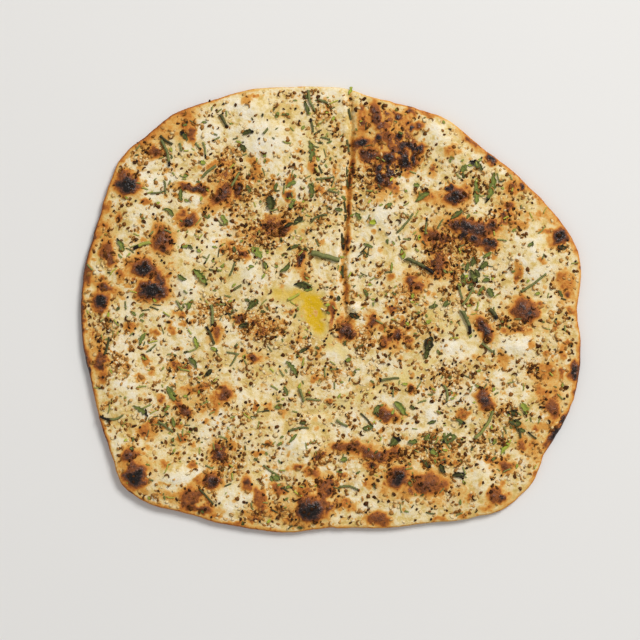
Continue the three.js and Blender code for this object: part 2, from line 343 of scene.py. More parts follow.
# Baking marks. Each row: x, y, half length, half width, turn, rise, blackness, width of the brown ring.
charBlisters = [
    (-147.5, 89, 8.5, 6.8, -25, 3.4, 1.0, 3.5), (-127, 113, 4.4, 4.2, 0, 1.4, 0.3, 3),
    (-102, 63, 4.6, 4.4, 0, 2.0, 0.75, 3.5), (-99, 87, 9.5, 2.6, -5, 1.1, 0.75, 1.5),
    (-79.5, 82, 8.5, 3.8, 42, 1.6, 0.56, 4), (-67, 85, 3.2, 5.2, 0, 1.1, 0.55, 2.5),
    (-122, 49, 6, 8.4, 10, 2.4, 0.46, 3.5), (-134.5, 28, 8.4, 5.4, -28, 3.0, 0.95, 3.5),
    (-129, 12, 10.5, 6.8, -6, 3.2, 0.92, 2.6), (-124, 20, 3.4, 6, 20, 2.0, 0.6, 3),
    (-167.2, 4.5, 5.2, 6.6, 8, 3.0, 1.0, 2.6), (-163.5, 15, 6.5, 3, -30, 1.4, 0.45, 3),
    (-161, 39.5, 4.4, 8.6, 12, 1.4, 0.38, 2.6), (-167, -38, 3.4, 6, 10, 1.4, 0.5, 3),
    (-145, -107.5, 4.8, 3.8, 20, 1.8, 0.5, 3), (-143.5, -114, 3, 4.2, 20, 1.5, 0.45, 3),
    (-142, -122.5, 7.2, 7.6, 0, 3.4, 1.0, 3.2), (-81, -106, 4.2, 5.2, 20, 2.0, 0.58, 3.6),
    (-86.5, -125, 4.8, 5.2, 0, 1.8, 0.75, 3.4), (-102, -139, 6, 8.0, -30, 1.9, 0.32, 3),
    (-93, -146, 7.2, 2.4, -8, 1.1, 0.34, 2.2), (-78, -63, 4.2, 4.4, 0, 2.0, 0.5, 4),
    (-104.5, -74, 3.6, 3.6, 0, 1.4, 0.4, 3), (-60, -127, 3.4, 5, 10, 1.6, 0.2, 2.2),
    (-51, -140, 3.4, 8.4, 22, 1.6, 0.24, 2.2), (-37, -132, 5, 2.8, -15, 1.1, 0.16, 1.8),
    (-14.5, -147, 10.6, 8.2, 10, 3.8, 1.0, 4.4), (-5, -130, 5.4, 6, 0, 1.6, 0.3, 4),
    (34, -154.3, 6.8, 4.2, -5, 2.0, 0.36, 2.4), (48.5, -123, 7, 6.2, 20, 3.0, 0.85, 4),
    (70, -128, 12, 7, -5, 2.3, 0.32, 3.6), (40, -77.5, 7, 3.4, -10, 1.6, 0.5, 3),
    (12, -18, 5.2, 4.2, -35, 1.6, 0.62, 2.6), (29.3, -9.3, 2.8, 4.0, 0, 1.2, 0.55, 2.2),
    (38.5, -26, 3, 3.4, 0, 0.9, 0.3, 2), (47.5, -20.5, 3, 3, 0, 0.9, 0.56, 1.6),
    (57, 18, 3, 5.6, 10, 1.2, 0.42, 2.6), (64, 15.5, 2.6, 3.4, 0, 1.2, 0.36, 2.4),
    (78, 30.5, 4.8, 7.8, 10, 1.8, 0.4, 2.6), (90, 79.5, 7.8, 5.2, 10, 2.8, 0.92, 4),
    (86.3, 86.6, 2.7, 2.7, 0, 1.5, 1.0, 0.8), (100, 58, 14.5, 5, -14, 2.2, 0.74, 3.6),
    (112.5, 47.2, 6.2, 4.4, -15, 2.0, 0.8, 2.8), (103.8, 50, 3.2, 2.8, 0, 1.1, 0.9, 2),
    (117.5, 59, 3.8, 2.5, 0, 1.1, 0.7, 2.5), (77, 51, 10, 3.6, -10, 1.1, 0.36, 3.4),
    (165.6, 52.5, 5.2, 5.6, -20, 2.2, 0.85, 3.2), (140, -2.5, 8.8, 6.8, -15, 2.8, 0.56, 2.4),
    (142.5, -4, 2.2, 2.8, 0, 0.5, 1.0, 0.5), (111.5, -15, 4, 7.2, 35, 2.0, 0.68, 3.2),
    (111, -66, 4.6, 7, 10, 2.2, 0.64, 2.8), (176.2, -45.5, 3.8, 6, 0, 1.4, 1.0, 1.4),
    (160.5, -72.5, 4.6, 6.8, 10, 1.6, 0.42, 2.8), (167.4, -81.5, 2.2, 4.4, -18, 0.9, 1.0, 1.2),
    (160.8, -92.5, 8, 2.3, 60, 0.7, 0.85, 1.6), (118.5, -136.5, 4.2, 5.8, -20, 1.6, 0.34, 3),
    (125, -137.5, 3.6, 2.2, 0, 1.1, 0.72, 2), (125, -114.5, 3.8, 3.8, 0, 1.1, 0.34, 3),
    (137.5, -98.5, 2.6, 4.4, 0, 0.9, 0.36, 2), (33, 139, 3.6, 8.4, 8, 1.6, 0.52, 2),
    (41.5, 125, 3.4, 8, 15, 1.0, 0.3, 2.5), (34.6, 123.6, 2.7, 3.8, 20, 1.0, 1.0, 1.4),
    (21.5, 119, 5.6, 3, 0, 1.2, 0.92, 2.4), (27, 110.5, 7, 3.6, -5, 1.4, 0.64, 3),
    (41, 107.5, 5.8, 3.6, 30, 1.6, 0.84, 2), (36.5, 100.5, 3.4, 2.4, 30, 1.0, 0.95, 2),
    (36.5, 92, 3, 5.4, 10, 1.4, 0.86, 2.4), (41.5, 90, 2.4, 5.4, 0, 1.2, 0.5, 2.4),
    (51.6, 107.6, 3.4, 5.4, 0, 2.0, 0.92, 2.4), (60.6, 108.6, 3.2, 5, -10, 2.0, 0.84, 2.6),
    (53, 116, 7, 2.4, 5, 1.8, 0.76, 2), (63.4, 115, 2.8, 3.4, 0, 1.4, 0.84, 2.4),
    (50.5, 124.3, 2.3, 2.3, 0, 0.9, 0.95, 1.6), (58.6, 130.5, 1.3, 1.3, 0, 0.6, 0.95, 2),
    (48.4, 139, 2.2, 3.4, 25, 0.9, 0.9, 1.6), (57, 141, 3.4, 1.6, 0, 0.6, 0.5, 2),
    (62.5, 132, 2, 1.6, 0, 0.5, 0.6, 1.6), (-33, 57, 4, 2.4, 20, 0.9, 0.5, 3),
    (-42, 60, 4, 1.8, -10, 0.8, 0.36, 2), (-22, 36, 2.2, 5, -20, 0.9, 0.78, 1.6),
    (-56, -36.5, 4, 2.5, 0, 0.9, 0.4, 3), (-66.5, -8.5, 4, 2.4, 15, 0.9, 0.45, 1.6),
    (-83, -18, 2.6, 4.6, 0, 1.0, 0.3, 2.4), (115.5, 107, 4, 4, -30, 1.8, 0.82, 1.6),
    (100, 121, 5.6, 1.7, -48, 0.7, 0.35, 2), (128, 73, 2.8, 2.4, 0, 0.9, 0.55, 3.4),
    (139.5, 86.4, 1.7, 2.1, 0, 0.7, 0.9, 1.5), (57.5, -59, 2.8, 2.8, 0, 0.9, 0.85, 1.8),
    (-64, 38, 3.4, 2.8, 0, 0.9, 0.45, 2.8), (43, -1, 2.4, 2.6, 0, 0.8, 0.36, 1.6),
    (6, -101.5, 6, 2.3, 0, 1.5, 0.36, 2.6), (15, -100.8, 6, 2.9, 0, 2.0, 0.5, 3.2),
    (25, -104, 6, 3.2, -15, 1.8, 0.4, 3.2), (34, -107.5, 6.4, 3.4, -10, 1.6, 0.46, 2.8),
    (44, -105, 6, 2.2, 5, 1.1, 0.22, 2.8),
]

# Toasted places without char. Each row: x, y, half length, half width, turn, depth of the browning.
toastPatches = [
    (-132, 124.5, 11, 5, 42, 0.5), (-128, 113, 9, 7, 0, 0.42), (-104, 132, 7, 12, 0, 0.5),
    (-101.5, 126, 3.8, 7, 0, 0.78), (-109, 142, 13, 3, 22, 0.5), (-108, 66.5, 5, 3.5, 0, 0.55),
    (-134.8, 76.5, 3.6, 2.6, 0, 0.62), (-162, 73.5, 4, 4, 0, 0.66), (-154, 65.5, 3, 4, 0, 0.6),
    (-163.5, 59.5, 6, 3.6, 0, 0.55), (-137, 101, 3.2, 3, 0, 0.4), (-113, 103, 1.6, 3, 0, 0.42),
    (-86, 103.5, 5, 3, 20, 0.5), (-80, 92, 12, 8, 0, 0.28), (-75, 104, 7, 5, 0, 0.4),
    (-85, 76, 8, 5, 0, 0.28), (-143, 32, 6, 4, 0, 0.5), (-151, 24, 3.4, 2.4, 0, 0.6),
    (-172, 49, 9, 3, 40, 0.55), (-177, 24, 3.4, 8, 0, 0.8), (-180, -5, 2.5, 16, 0, 0.72),
    (-178, -35, 3, 12, 12, 0.72), (-170, -30, 6, 8, 0, 0.34), (-165, -49, 3.4, 7, 8, 0.62),
    (-145, -12.5, 5, 4, 0, 0.6), (-127.5, -19, 3.4, 2.8, 0, 0.66), (-110, -4.5, 3.4, 2.8, 0, 0.56),
    (-107.5, -12, 3, 2.6, 0, 0.5), (-114.5, -16, 2.4, 4, 20, 0.62), (-133, -38, 4, 3, 0, 0.56),
    (-129, -45, 2.6, 4.4, 0, 0.5), (-138, -50.5, 3.8, 2.4, 0, 0.5), (-113, -43, 5, 3.2, 0, 0.6),
    (-104, -43, 3.6, 2, 0, 0.65), (-84, -20, 6, 8, 0, 0.36), (-68, 38, 9, 6, 0, 0.3),
    (-75, 45, 8, 6, 0, 0.28), (-55, 55, 16, 8, 0, 0.27), (-21, 33, 5, 8, 0, 0.42),
    (-18, 24, 3.8, 4.4, 0, 0.56), (-30, 92.5, 4.8, 3, -30, 0.62), (-30.5, 81, 4.4, 4.4, 0, 0.62),
    (-55.5, 101, 3.6, 9, 0, 0.5), (-53, 96, 5, 4, 0, 0.46), (-46, 107, 3, 2.4, 0, 0.4),
    (-13.6, 101.5, 2.6, 6.4, 0, 0.5), (4, 100, 2.4, 5.4, 0, 0.38), (-9, 85, 4, 4, 0, 0.5),
    (-1, 62, 3, 3, 0, 0.36), (-8, 47, 4, 1.6, 0, 0.44), (-61, 150, 4.6, 3, 20, 0.44),
    (-54, 154, 4, 1.5, 0, 0.44), (23.5, 134, 6.6, 12.5, 0, 0.58), (20, 119, 9, 5, 0, 0.56),
    (28, 115, 9, 5, 0, 0.62), (48, 132, 17, 13, -15, 0.4), (40, 110, 22, 12, 0, 0.36),
    (47, 85, 3.6, 7.6, 0, 0.6), (37, 90, 10, 14, 0, 0.42), (56, 99, 5, 4.4, 0, 0.52),
    (62, 132, 4, 4, 0, 0.7), (58, 142, 6, 3, -15, 0.6), (71, 139.6, 5.4, 1.8, -25, 0.6),
    (86.5, 114, 5, 4, 0, 0.48), (74, 99.5, 4, 5.4, 0, 0.44), (71, 80.5, 10, 6, 0, 0.52),
    (98, 88, 5, 5, 0, 0.46), (132.5, 87, 6.6, 6.4, 0, 0.48), (109, 114, 3.4, 2.4, -40, 0.46),
    (127, 68, 8, 8, 0, 0.4), (146, 66, 12, 4, -20, 0.24), (136, 60, 7, 4, 0, 0.4),
    (158, 67, 10, 3.4, -48, 0.34), (157, 54.5, 6, 3, 0, 0.6), (170, 60, 5, 4, -50, 0.46),
    (100, 56, 19, 8, -12, 0.56), (75, 50, 14, 8, 0, 0.52), (78, 30, 8, 11, 0, 0.46),
    (62, 16, 8, 9, 0, 0.46), (87, 25, 5, 5, 0, 0.44), (134.4, 24, 3, 9.4, 0, 0.58),
    (152.5, 33.5, 3, 2.4, 0, 0.48), (170, 18, 8, 12, 15, 0.46), (167, 23, 4.6, 4, 0, 0.6),
    (172, 12, 4.6, 5, 0, 0.54), (161, 17, 3, 3, 0, 0.36), (173.4, -2.6, 3.4, 3.2, 0, 0.6),
    (159, -6, 2.4, 5, 0, 0.44), (164, -13, 2, 3, 0, 0.6), (155, 0, 3, 3, 0, 0.36),
    (135, -17, 14, 3, 0, 0.42), (113, -22, 6, 4, -40, 0.44), (145.4, -27, 2.6, 3.4, 0, 0.46),
    (156, -33.5, 2.8, 2.6, 0, 0.5), (124, -36.5, 4, 6.6, 0, 0.46), (168.5, -32, 3, 7, 0, 0.5),
    (172.5, -24.5, 2.6, 2.2, 0, 0.62), (107, -36, 5, 3, 0, 0.38), (156, -47, 10, 8, 20, 0.5),
    (154, -45, 4, 4, 0, 0.56), (167, -48.5, 2.4, 5, 0, 0.66), (151, -60, 5, 5, 0, 0.56),
    (155, -64, 4, 5, -30, 0.66), (163, -60, 6, 8, 0, 0.36), (154, -86, 12, 4, 5, 0.4),
    (135, -86.5, 6, 3, 0, 0.42), (150, -105, 8, 14, -25, 0.26), (145, -100, 8, 8, 0, 0.38),
    (115, -109, 5, 2.6, 0, 0.56), (126, -116, 13, 8, 0, 0.3), (113, -146, 7, 3, 5, 0.5),
    (120, -138, 9, 6, -10, 0.44), (93, -134, 10, 7, 0, 0.3), (76, -142, 9, 5, 0, 0.26),
    (100, -137.5, 2.6, 2.6, 0, 0.6), (107, -126, 2, 4, 0, 0.42), (79, -152, 4, 2.4, 0, 0.54),
    (97, -150, 4.4, 1.8, 20, 0.56), (97, -154, 4, 1.5, 30, 0.5), (72, -126, 15, 10, 0, 0.5),
    (95, -77.5, 4.8, 4.2, 0, 0.62), (77, -90, 4, 2, 0, 0.5), (91, -113, 4, 3, 0, 0.6),
    (80, -111, 10, 3, 0, 0.56), (56, -25, 4.8, 6.4, 0, 0.66), (36, -14.5, 4, 3, 0, 0.58),
    (28.5, -16, 2.6, 4, 0, 0.52), (44, -25, 10, 8, 0, 0.38), (34.5, 25, 2.4, 3, 0, 0.44),
    (43.5, 22.5, 3.4, 3, 0, 0.6), (0.5, -3, 2.8, 12, -4, 0.74), (10, -13, 7, 8, 0, 0.46),
    (12, 47.5, 2, 5, 0, 0.72), (8.5, 21.5, 2.6, 4, 0, 0.56), (-12.5, -51.5, 4, 2.4, 0, 0.52),
    (-24, -23, 4, 3.6, 0, 0.42), (-8, -29, 1.6, 3.4, 0, 0.52), (-28, -1.8, 3, 1.6, 0, 0.44),
    (-56, -36.5, 6.4, 4, 0, 0.52), (-53, -73.8, 2.4, 2.6, 0, 0.56), (-45, -72, 3.4, 2.6, -30, 0.52),
    (-35, -76, 4, 3, -30, 0.44), (-28, -66, 2.4, 1.8, 0, 0.44), (-1, -68, 3, 2, 0, 0.56),
    (-45.5, -98, 4, 2.8, 0, 0.58), (-53, -106, 5, 2.2, 5, 0.54), (-31, -106, 2.4, 3.6, 0, 0.42),
    (-24, -116, 6.4, 3.2, 10, 0.74), (-8, -107, 6, 2.4, 25, 0.66), (-13, -120, 6.6, 3.4, -15, 0.68),
    (8, -120.5, 5, 2.8, 0, 0.56), (-20, -134, 6, 6, 0, 0.6), (-5, -130, 9, 8, 0, 0.52),
    (11, -143.5, 10, 4, -5, 0.54), (-14, -146, 15, 11, 0, 0.52), (30, -114, 6, 5, 0, 0.6),
    (22, -104, 20, 5, -8, 0.56), (36, -108, 12, 6, 0, 0.5), (48, -124, 11, 10, 0, 0.5),
    (55, -132.5, 6, 5.6, 0, 0.46), (30, -125, 6, 5, 0, 0.38), (40, -75, 7, 4, 0, 0.62),
    (34, -153, 9, 6, 0, 0.2), (-40, -148, 9, 6, 0, 0.34), (-57, -151, 7, 4, 0, 0.5),
    (-30, -155, 10, 4, 0, 0.42), (-98, -58.5, 11, 3.4, 5, 0.54), (-108.5, -71, 7.5, 3, -52, 0.86),
    (-84, -71, 3, 7, 0, 0.56), (-80, -66, 9, 7, 0, 0.46), (-122, -66, 3.6, 3.4, 0, 0.8),
    (-125, -63, 4, 3, 0, 0.44), (-162, -71, 3, 2.4, 0, 0.44), (-159, -64, 2.4, 2, 0, 0.38),
    (-167, -85, 4, 3, -40, 0.6), (-165, -92, 2.4, 5, 15, 0.56), (-135, -88.5, 4, 4.4, 0, 0.6),
    (-129.5, -84, 3, 2.6, 0, 0.62), (-132, -90, 9, 6, 0, 0.42), (-108, -95, 3.4, 3, 0, 0.58),
    (-109, -86.5, 4, 2, 10, 0.56), (-91, -82, 2.6, 2, 0, 0.54), (-100, -98.5, 2.4, 2.4, 0, 0.42),
    (-100.5, -114, 3.4, 2.8, 0, 0.66), (-110, -105.5, 1.6, 2.2, 0, 0.52),
    (-119.5, -113.5, 3.4, 4.6, 0, 0.48), (-118, -126.6, 6, 1, 0, 0.5), (-118, -136, 14, 5, -10, 0.3),
    (-135, -133, 7, 4, -30, 0.36), (-96, -125, 5, 3, 40, 0.6), (-102, -137, 9, 10, 0, 0.46),
    (-84, -151, 4.4, 2, -5, 0.56), (-66, -155, 4, 2.4, 0, 0.6), (-78, -111, 5, 6, 30, 0.54),
    (-85, -103, 7, 5, 0, 0.38), (-72, -97, 3, 6, 20, 0.44), (-145, -112, 8, 12, 0, 0.5),
    (-141, -120, 10.5, 10, 0, 0.46), (92, -138, 20, 11, 0, 0.12), (150, -102, 12, 20, -22, 0.2),
    (-20, -140, 22, 16, 0, 0.24), (48, -130, 20, 11, 0, 0.25), (-100, -140, 15, 10, -15, 0.28),
    (-140, -118, 14, 18, 0, 0.28), (39, 112, 21, 28, 0, 0.2), (90, 55, 28, 15, -8, 0.28),
    (-58, 56, 32, 13, -10, 0.14), (169, 14, 8, 16, 5, 0.26), (-116, 132, 26, 11, 36, 0.34),
    (-76, 92, 24, 16, 0, 0.16), (-126, 26, 18, 28, 0, 0.22), (137, -8, 20, 13, -10, 0.22),
    (157, -56, 15, 20, 15, 0.3), (-104, -70, 22, 12, 0, 0.24), (62, 14, 22, 15, 0, 0.12),
    (-165, 55, 12, 14, 30, 0.24), (30, -105, 34, 10, -6, 0.28), (-50, -149, 15, 8, 0, 0.14),
    (134, 70, 18, 7, -30, 0.14), (-170, -30, 8, 26, 8, 0.26),
]

# Crusts scorched in an open net. Each row: x, y, half length, half width, turn, blackness.
scorchedNets = [
    (46, 117, 20, 16, 0, 0.42), (54, 110, 11, 10, 0, 0.84), (40, 97, 10, 15, 10, 0.7),
    (28, 112, 12, 8, -15, 0.56), (38, 136, 9, 10, 0, 0.4), (92, 56, 22, 9, -14, 0.64),
    (78, 44, 16, 8, 0, 0.36), (-44, 60, 18, 9, 5, 0.28), (-78, 90, 14, 14, 0, 0.3),
    (-50, -15, 17, 9, -15, 0.24), (24, -104, 26, 7, -4, 0.36), (-10, -140, 20, 14, 0, 0.36),
    (60, -128, 20, 9, 0, 0.32), (158, -66, 9, 16, 15, 0.28), (-140, 22, 14, 14, 30, 0.2),
    (47, -14, 14, 10, 0, 0.2), (-94, -142, 13, 7, -20, 0.24),
]

# Pale blown bubbles that shed the seasoning. Each row: x, y, half length, half width, turn, rise.
paleBubbles = [
    (-45, 122, 18, 14, 0, 1.2), (-88, 128, 8, 12, 0, 1.0), (-128, 90, 10, 8, 0, 0.8),
    (-112, 92, 6, 7, 0, 0.8), (-98, 78, 7, 5, 0, 0.8), (-105, 12, 8, 10, 0, 1.0), (-58, 26, 7, 8, 0, 1.0),
    (145, 36, 14, 18, -10, 1.4), (160, 5, 9, 8, 0, 0.8), (132, -28, 16, 8, 0, 1.2),
    (109, -124, 6, 16, -5, 1.2), (-108, -120, 16, 7, 0, 1.4), (-24, -98, 10, 8, 0, 1.0),
    (78, 127, 11, 12, 0, 1.2), (36, 68, 14, 6, 10, 0.8), (18.5, 0.5, 4.2, 4.2, 0, 1.8),
    (-57, 146, 14, 8, 0, 1.0), (88, -28, 8, 6, 0, 0.8), (72, -73, 4, 6, 0, 0.8),
    (-148, -60, 12, 10, 0, 0.8), (0, 74, 5, 5, 0, 0.8), (-40, -22, 7, 4, 0, 0.6), (0, -34, 8, 5, 0, 0.6),
    (123, 95, 4, 9, -20, 0.8), (37, 6, 4, 3, 0, 0.8), (-8, 107, 5, 5, 0, 0.6), (-152, -95, 5, 6, 0, 0.4),
    (-32, -42, 8, 3, -40, 0.5), (-127, -5, 7, 4, 0, 0.6), (10, -88, 6, 4, 0, 0.5), (108, 68, 5, 6, 0, 0.6),
    (54, -133, 3, 3, 0, 0.8), (-86, -126, 1.8, 1.8, 0, 0.4),
]

# Where the garlic and seeds lie thickest. Each row: x, y, half length, half width, turn, how thick.
seasonedPlaces = [
    (-50, 54, 20, 12, -5, 1.0), (-52, -14, 20, 12, -10, 0.95), (-84, 1, 16, 11, 0, 0.7),
    (-70, 42, 11, 9, 0, 0.6), (-28, 70, 12, 8, 0, 0.7), (-5, 142, 10, 10, 0, 0.5), (28, 92, 13, 24, 0, 0.6),
    (50, 130, 13, 15, 0, 0.4), (89, 42, 22, 13, -8, 0.9), (50, 6, 18, 13, 0, 0.66),
    (60, -14, 24, 17, 0, 0.5), (22, -22, 15, 12, 0, 0.7), (-14, -28, 24, 11, 0, 0.5),
    (-5, -46, 20, 10, 0, 0.5), (76, -50, 24, 10, 20, 0.5), (105, -45, 12, 8, 0, 0.5),
    (130, -12, 19, 7, -10, 0.6), (145, -44, 5, 5, 0, 0.9), (75, -104, 22, 13, -10, 1.0),
    (54, -106, 10, 8, 0, 0.75), (36, -116, 14, 9, 0, 0.6), (8, -124, 18, 14, 0, 0.5),
    (116, -95, 17, 13, 0, 0.6), (125, -78, 13, 10, 0, 0.7), (-33, -150, 14, 8, 0, 0.7),
    (-58, -149, 11, 8, 0, 0.6), (-75, -112, 15, 16, 0, 0.65), (-94, -68, 11, 8, 0, 0.6),
    (-122, -84, 20, 9, 0, 0.46), (-145, -92, 11, 8, 0, 0.5), (-153, -42, 8, 10, 0, 0.85),
    (-163, -18, 12, 13, 0, 0.6), (-110, -43, 11, 9, 0, 0.6), (-145, 18, 5, 4, 0, 0.7),
    (-138, 110, 13, 8, 30, 0.6), (-75, 95, 14, 12, 0, 0.7), (-53, 86, 16, 14, 0, 0.6),
    (4, 112, 9, 30, 0, 0.35), (168, 43, 4, 3.5, 0, 0.9), (172, -20, 5, 20, 0, 0.5),
    (-2, 85, 13, 20, 0, 0.45), (120, 62, 15, 13, 0, 0.5), (40, -92, 15, 8, 0, 0.4),
    (-20, 45, 16, 12, 0, 0.4), (-100, 45, 12, 10, 0, 0.3), (92, 8, 18, 12, 0, 0.45),
    (30, 30, 16, 14, 0, 0.25), (-75, -40, 24, 14, 0, 0.25), (-68, 72, 12, 10, 0, 0.58),
    (-72, 110, 9, 8, 0, 0.65), (72, 28, 12, 9, 0, 0.75), (52, 104, 12, 12, 0, 0.4),
    (-90, -54, 10, 8, 0, 0.6), (90, 26, 9, 9, 0, 0.85), (62, -128, 12, 8, 0, 0.5), (110, 86, 12, 9, 0, 0.4),
    (-10, 62, 10, 8, 0, 0.5), (88, -50, 10, 8, 0, 0.8), (-8, -110, 9, 5, 20, 0.9),
]

# Nearly bare crust. Each row: x, y, half length, half width, turn, how bare.
barePlaces = [
    (-40, 124, 21, 19, 0, 0.55), (38, 50, 20, 17, -10, 0.75), (150, 52, 12, 24, 0, 0.6),
    (94, -30, 13, 8, 0, 0.7), (-104, 34, 18, 18, 0, 0.5), (-110, -30, 10, 9, 0, 0.5),
    (-66, -62, 14, 14, 0, 0.5), (-10, -88, 9, 9, 0, 0.5), (-112, -130, 12, 8, 0, 0.6),
    (140, -128, 14, 8, 40, 0.6), (50, -151, 26, 6, 0, 0.6), (-72, -138, 11, 10, 0, 0.85),
    (72, 122, 10, 16, 0, 0.5), (8, -32, 10, 7, 0, 0.5), (142, -58, 10, 12, 0, 0.5),
    (126, -28, 16, 6, 0, 0.6), (-72, -46, 10, 8, 0, 0.6), (-56, 148, 14, 7, 0, 0.4),
    (-108, 50, 9, 9, 0, 0.6), (28, 32, 12, 9, 0, 0.6), (50, -48, 10, 8, 0, 0.5),
    (134, -108, 10, 10, 0, 0.5), (150, -88, 9, 7, 0, 0.5), (150, 34, 13, 15, 0, 0.6),
    (3, -118, 8, 5, 0, 0.5), (22, -136, 9, 12, 0, 0.5),
]

# Where the chopped coriander gathers. Each row: x, y, half length, half width, turn, how thick.
herbyPlaces = [
    (106, 22, 13, 20, 0, 1.0), (-26, 74, 15, 12, 20, 0.8), (76, -98, 22, 9, -6, 0.9),
    (-8, 98, 12, 36, 0, 0.7), (102, 98, 13, 12, 0, 0.7), (136, -82, 12, 9, -15, 0.9),
    (-8, 146, 16, 10, 0, 0.7), (-88, 40, 14, 16, 0, 0.6), (-58, 38, 12, 12, 0, 0.6),
    (-88, 92, 14, 14, 0, 0.5), (54, 46, 18, 14, -20, 0.6), (92, -12, 16, 12, 0, 0.5),
    (-118, -84, 18, 9, -10, 0.5), (24, 28, 12, 16, 0, 0.5), (0, -50, 26, 10, 0, 0.4),
    (-48, 108, 16, 14, 0, 0.5),
]

# Melted butter, the deep pool first. Each row: x, y, half length, half width, turn, depth.
butterPools = [
    (-13, -1, 11, 17, 6, 1.0), (-22, 8, 14, 8, -8, 0.76), (-36, 10, 12, 7, 0, 0.66),
    (-8, -13, 7, 9, 20, 0.9), (1, -8, 6, 12, 0, 0.6), (2, -27, 15, 6.5, -30, 0.42),
    (-45, -47, 16, 8, 0, 0.3), (10, -68, 30, 6, 14, 0.36), (55, -48, 30, 8, 26, 0.34),
    (90, -14, 20, 11, 0, 0.3), (68, -4, 18, 8, 0, 0.28), (-112, 30, 16, 12, 0, 0.22),
    (-10, 116, 14, 22, 0, 0.3), (-22, 36, 20, 12, 0, 0.22), (-70, 20, 16, 14, 0, 0.24),
    (55, -30, 20, 10, 0, 0.24), (-20, 60, 20, 10, 0, 0.2),
]
# Crumbs keep out of the first of them.
deepButter = withAmounts(butterPools[:4], lambda depth: 1.0)

# How brown the very edge is. Each row: direction in degrees, width of the band, depth.
edgeBrowning = [
    (-176, 3, 0.8), (-170, 3, 0.86), (-166, 3, 0.9), (-158, 3, 0.45), (-150, 3, 0.68), (-144, 3, 0.36),
    (-139, 4, 0.5), (-132, 4, 0.5), (-125, 4, 0.46), (-117, 4, 0.5), (-110, 4, 0.56), (-100, 3, 0.42),
    (-90, 3, 0.4), (-78, 3, 0.36), (-64, 3, 0.25), (-55, 3, 0.2), (-49, 4, 0.42), (-43, 4, 0.36),
    (-34, 3, 0.46), (-30, 5, 0.92), (-26, 4, 0.95), (-21, 4, 0.42), (-14, 4, 0.88), (-6, 3, 0.42),
    (-1, 3, 0.46), (7, 3, 0.36), (19, 5, 0.54), (28, 5, 0.5), (37, 4, 0.5), (49, 4, 0.5), (58, 3, 0.22),
    (64, 3, 0.55), (73, 3, 0.42), (86, 2, 0.12), (101, 2, 0.12), (113, 3, 0.4), (122, 3, 0.6),
    (129, 4, 0.6), (137, 6, 0.66), (145, 4, 0.46), (150, 3, 0.48), (162, 5, 0.76), (170, 4, 0.85),
    (180, 3, 0.8),
]

# The straight fold, from the middle to the edge, and the soft one that leads off to the right.
straightFold = [(12, -16), (9, 5), (8.6, 30), (9.4, 50), (11.3, 75), (12.6, 92), (14.5, 120), (14, 160)]
softFold = [(-16, -78), (5, -75), (18, -64), (37, -56), (79, -31)]
# A raised lip that holds the butter back from the straight fold.
butterLip = [(-2, 18), (-4, 6), (-2.6, -8), (3, -18)]

bread = {
    "cells": 280,                # crust grid cells across
    "undersideEvery": 4,         # crust cells to one underside cell
    "knotsRound": 144,           # corners round the edge of the CAD bread
    "edgeSteps": 2880,           # finer steps round the smoothed edge
    "edgePasses": 24,            # passes that smooth the corners away
    "edgeInset": 0.4,
    "edgeWobble": 0.7,
    "edgeRound": 1.7,
    "edgeRings": 5,
    "tuckIn": 0.99,              # heights are read a little inside the CAD's edge, above
    "tuckUnder": 0.985,          # and below
    "blur": 5,                   # passes that smooth the CAD's facets away
    "swell": 0.5,                # soft rise and fall of the crust
    "dimple": 0.42,
    "pore": 0.17,
    "crinkle": 0.85,             # wrinkles in the charred skins
    "butterSink": 0.35,
    "foldDepth": 2.1,
    "foldBank": 1.0,
    "softFoldDepth": 0.8,
    "lipHeight": 0.8,
    "undersideDimple": 0.35,
    "offCrust": 4.0,             # height taken for a scrap's corner that reaches past the crust
}

baking = {
    "wander": 2.3,               # how far the marks' outlines stray, broadly
    "fray": 1.4,                 # and finely
    "rim": 0.36,                 # browning close round a char blister
    "glow": 0.46,                # and further out
    "blisterRise": 0.68,
    "patchRise": 0.7,
    "edgeToast": 0.85,
    "edgeLine": 1.25,            # the thin dark line along the very edge
    "singeSquare": 0.5,          # squares of the map of singeing, and how many its blur takes in
    "singeBlur": 2.6,
    "singeMost": 2.5,
}


def readEdge(node):
    # radius of the CAD bread's edge by direction
    points = np.array([vertex.co for vertex in node.data.vertices]) / mm
    angle = np.arctan2(points[:, 1], points[:, 0])
    radius = np.hypot(points[:, 0], points[:, 1])
    turn = 2 * math.pi
    knots = bread["knotsRound"]
    knot = np.round(angle / turn * knots).astype(int) % knots
    outermost = [np.argmax(np.where(knot == k, radius, 0.0)) for k in range(knots)]
    order = sorted(outermost, key=lambda i: angle[i])
    knotAngle = angle[order]
    knotRadius = radius[order]
    knotAngle = np.concatenate([knotAngle[-3:] - turn, knotAngle, knotAngle[:3] + turn])
    knotRadius = np.concatenate([knotRadius[-3:], knotRadius, knotRadius[:3]])
    fine = np.linspace(-math.pi, math.pi, bread["edgeSteps"], endpoint=False)
    fineRadius = np.interp(fine, knotAngle, knotRadius)
    for _ in range(bread["edgePasses"]):
        fineRadius = (np.roll(fineRadius, 1) + 2 * fineRadius + np.roll(fineRadius, -1)) / 4
    circle = 60                  # the wobble is read from noise along a circle this far out
    wobble = layeredNoise(np.cos(fine) * circle, np.sin(fine) * circle, 3.2, 11)
    fineRadius = fineRadius - bread["edgeInset"] + bread["edgeWobble"] * wobble
    fine = np.append(fine, math.pi)
    fineRadius = np.append(fineRadius, fineRadius[0])
    return lambda direction: np.interp(direction, fine, fineRadius)


edgeRadius = readEdge(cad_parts["naan_bread"])
cadSkin = BVHTree.FromObject(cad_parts["naan_bread"], bpy.context.evaluated_depsgraph_get())


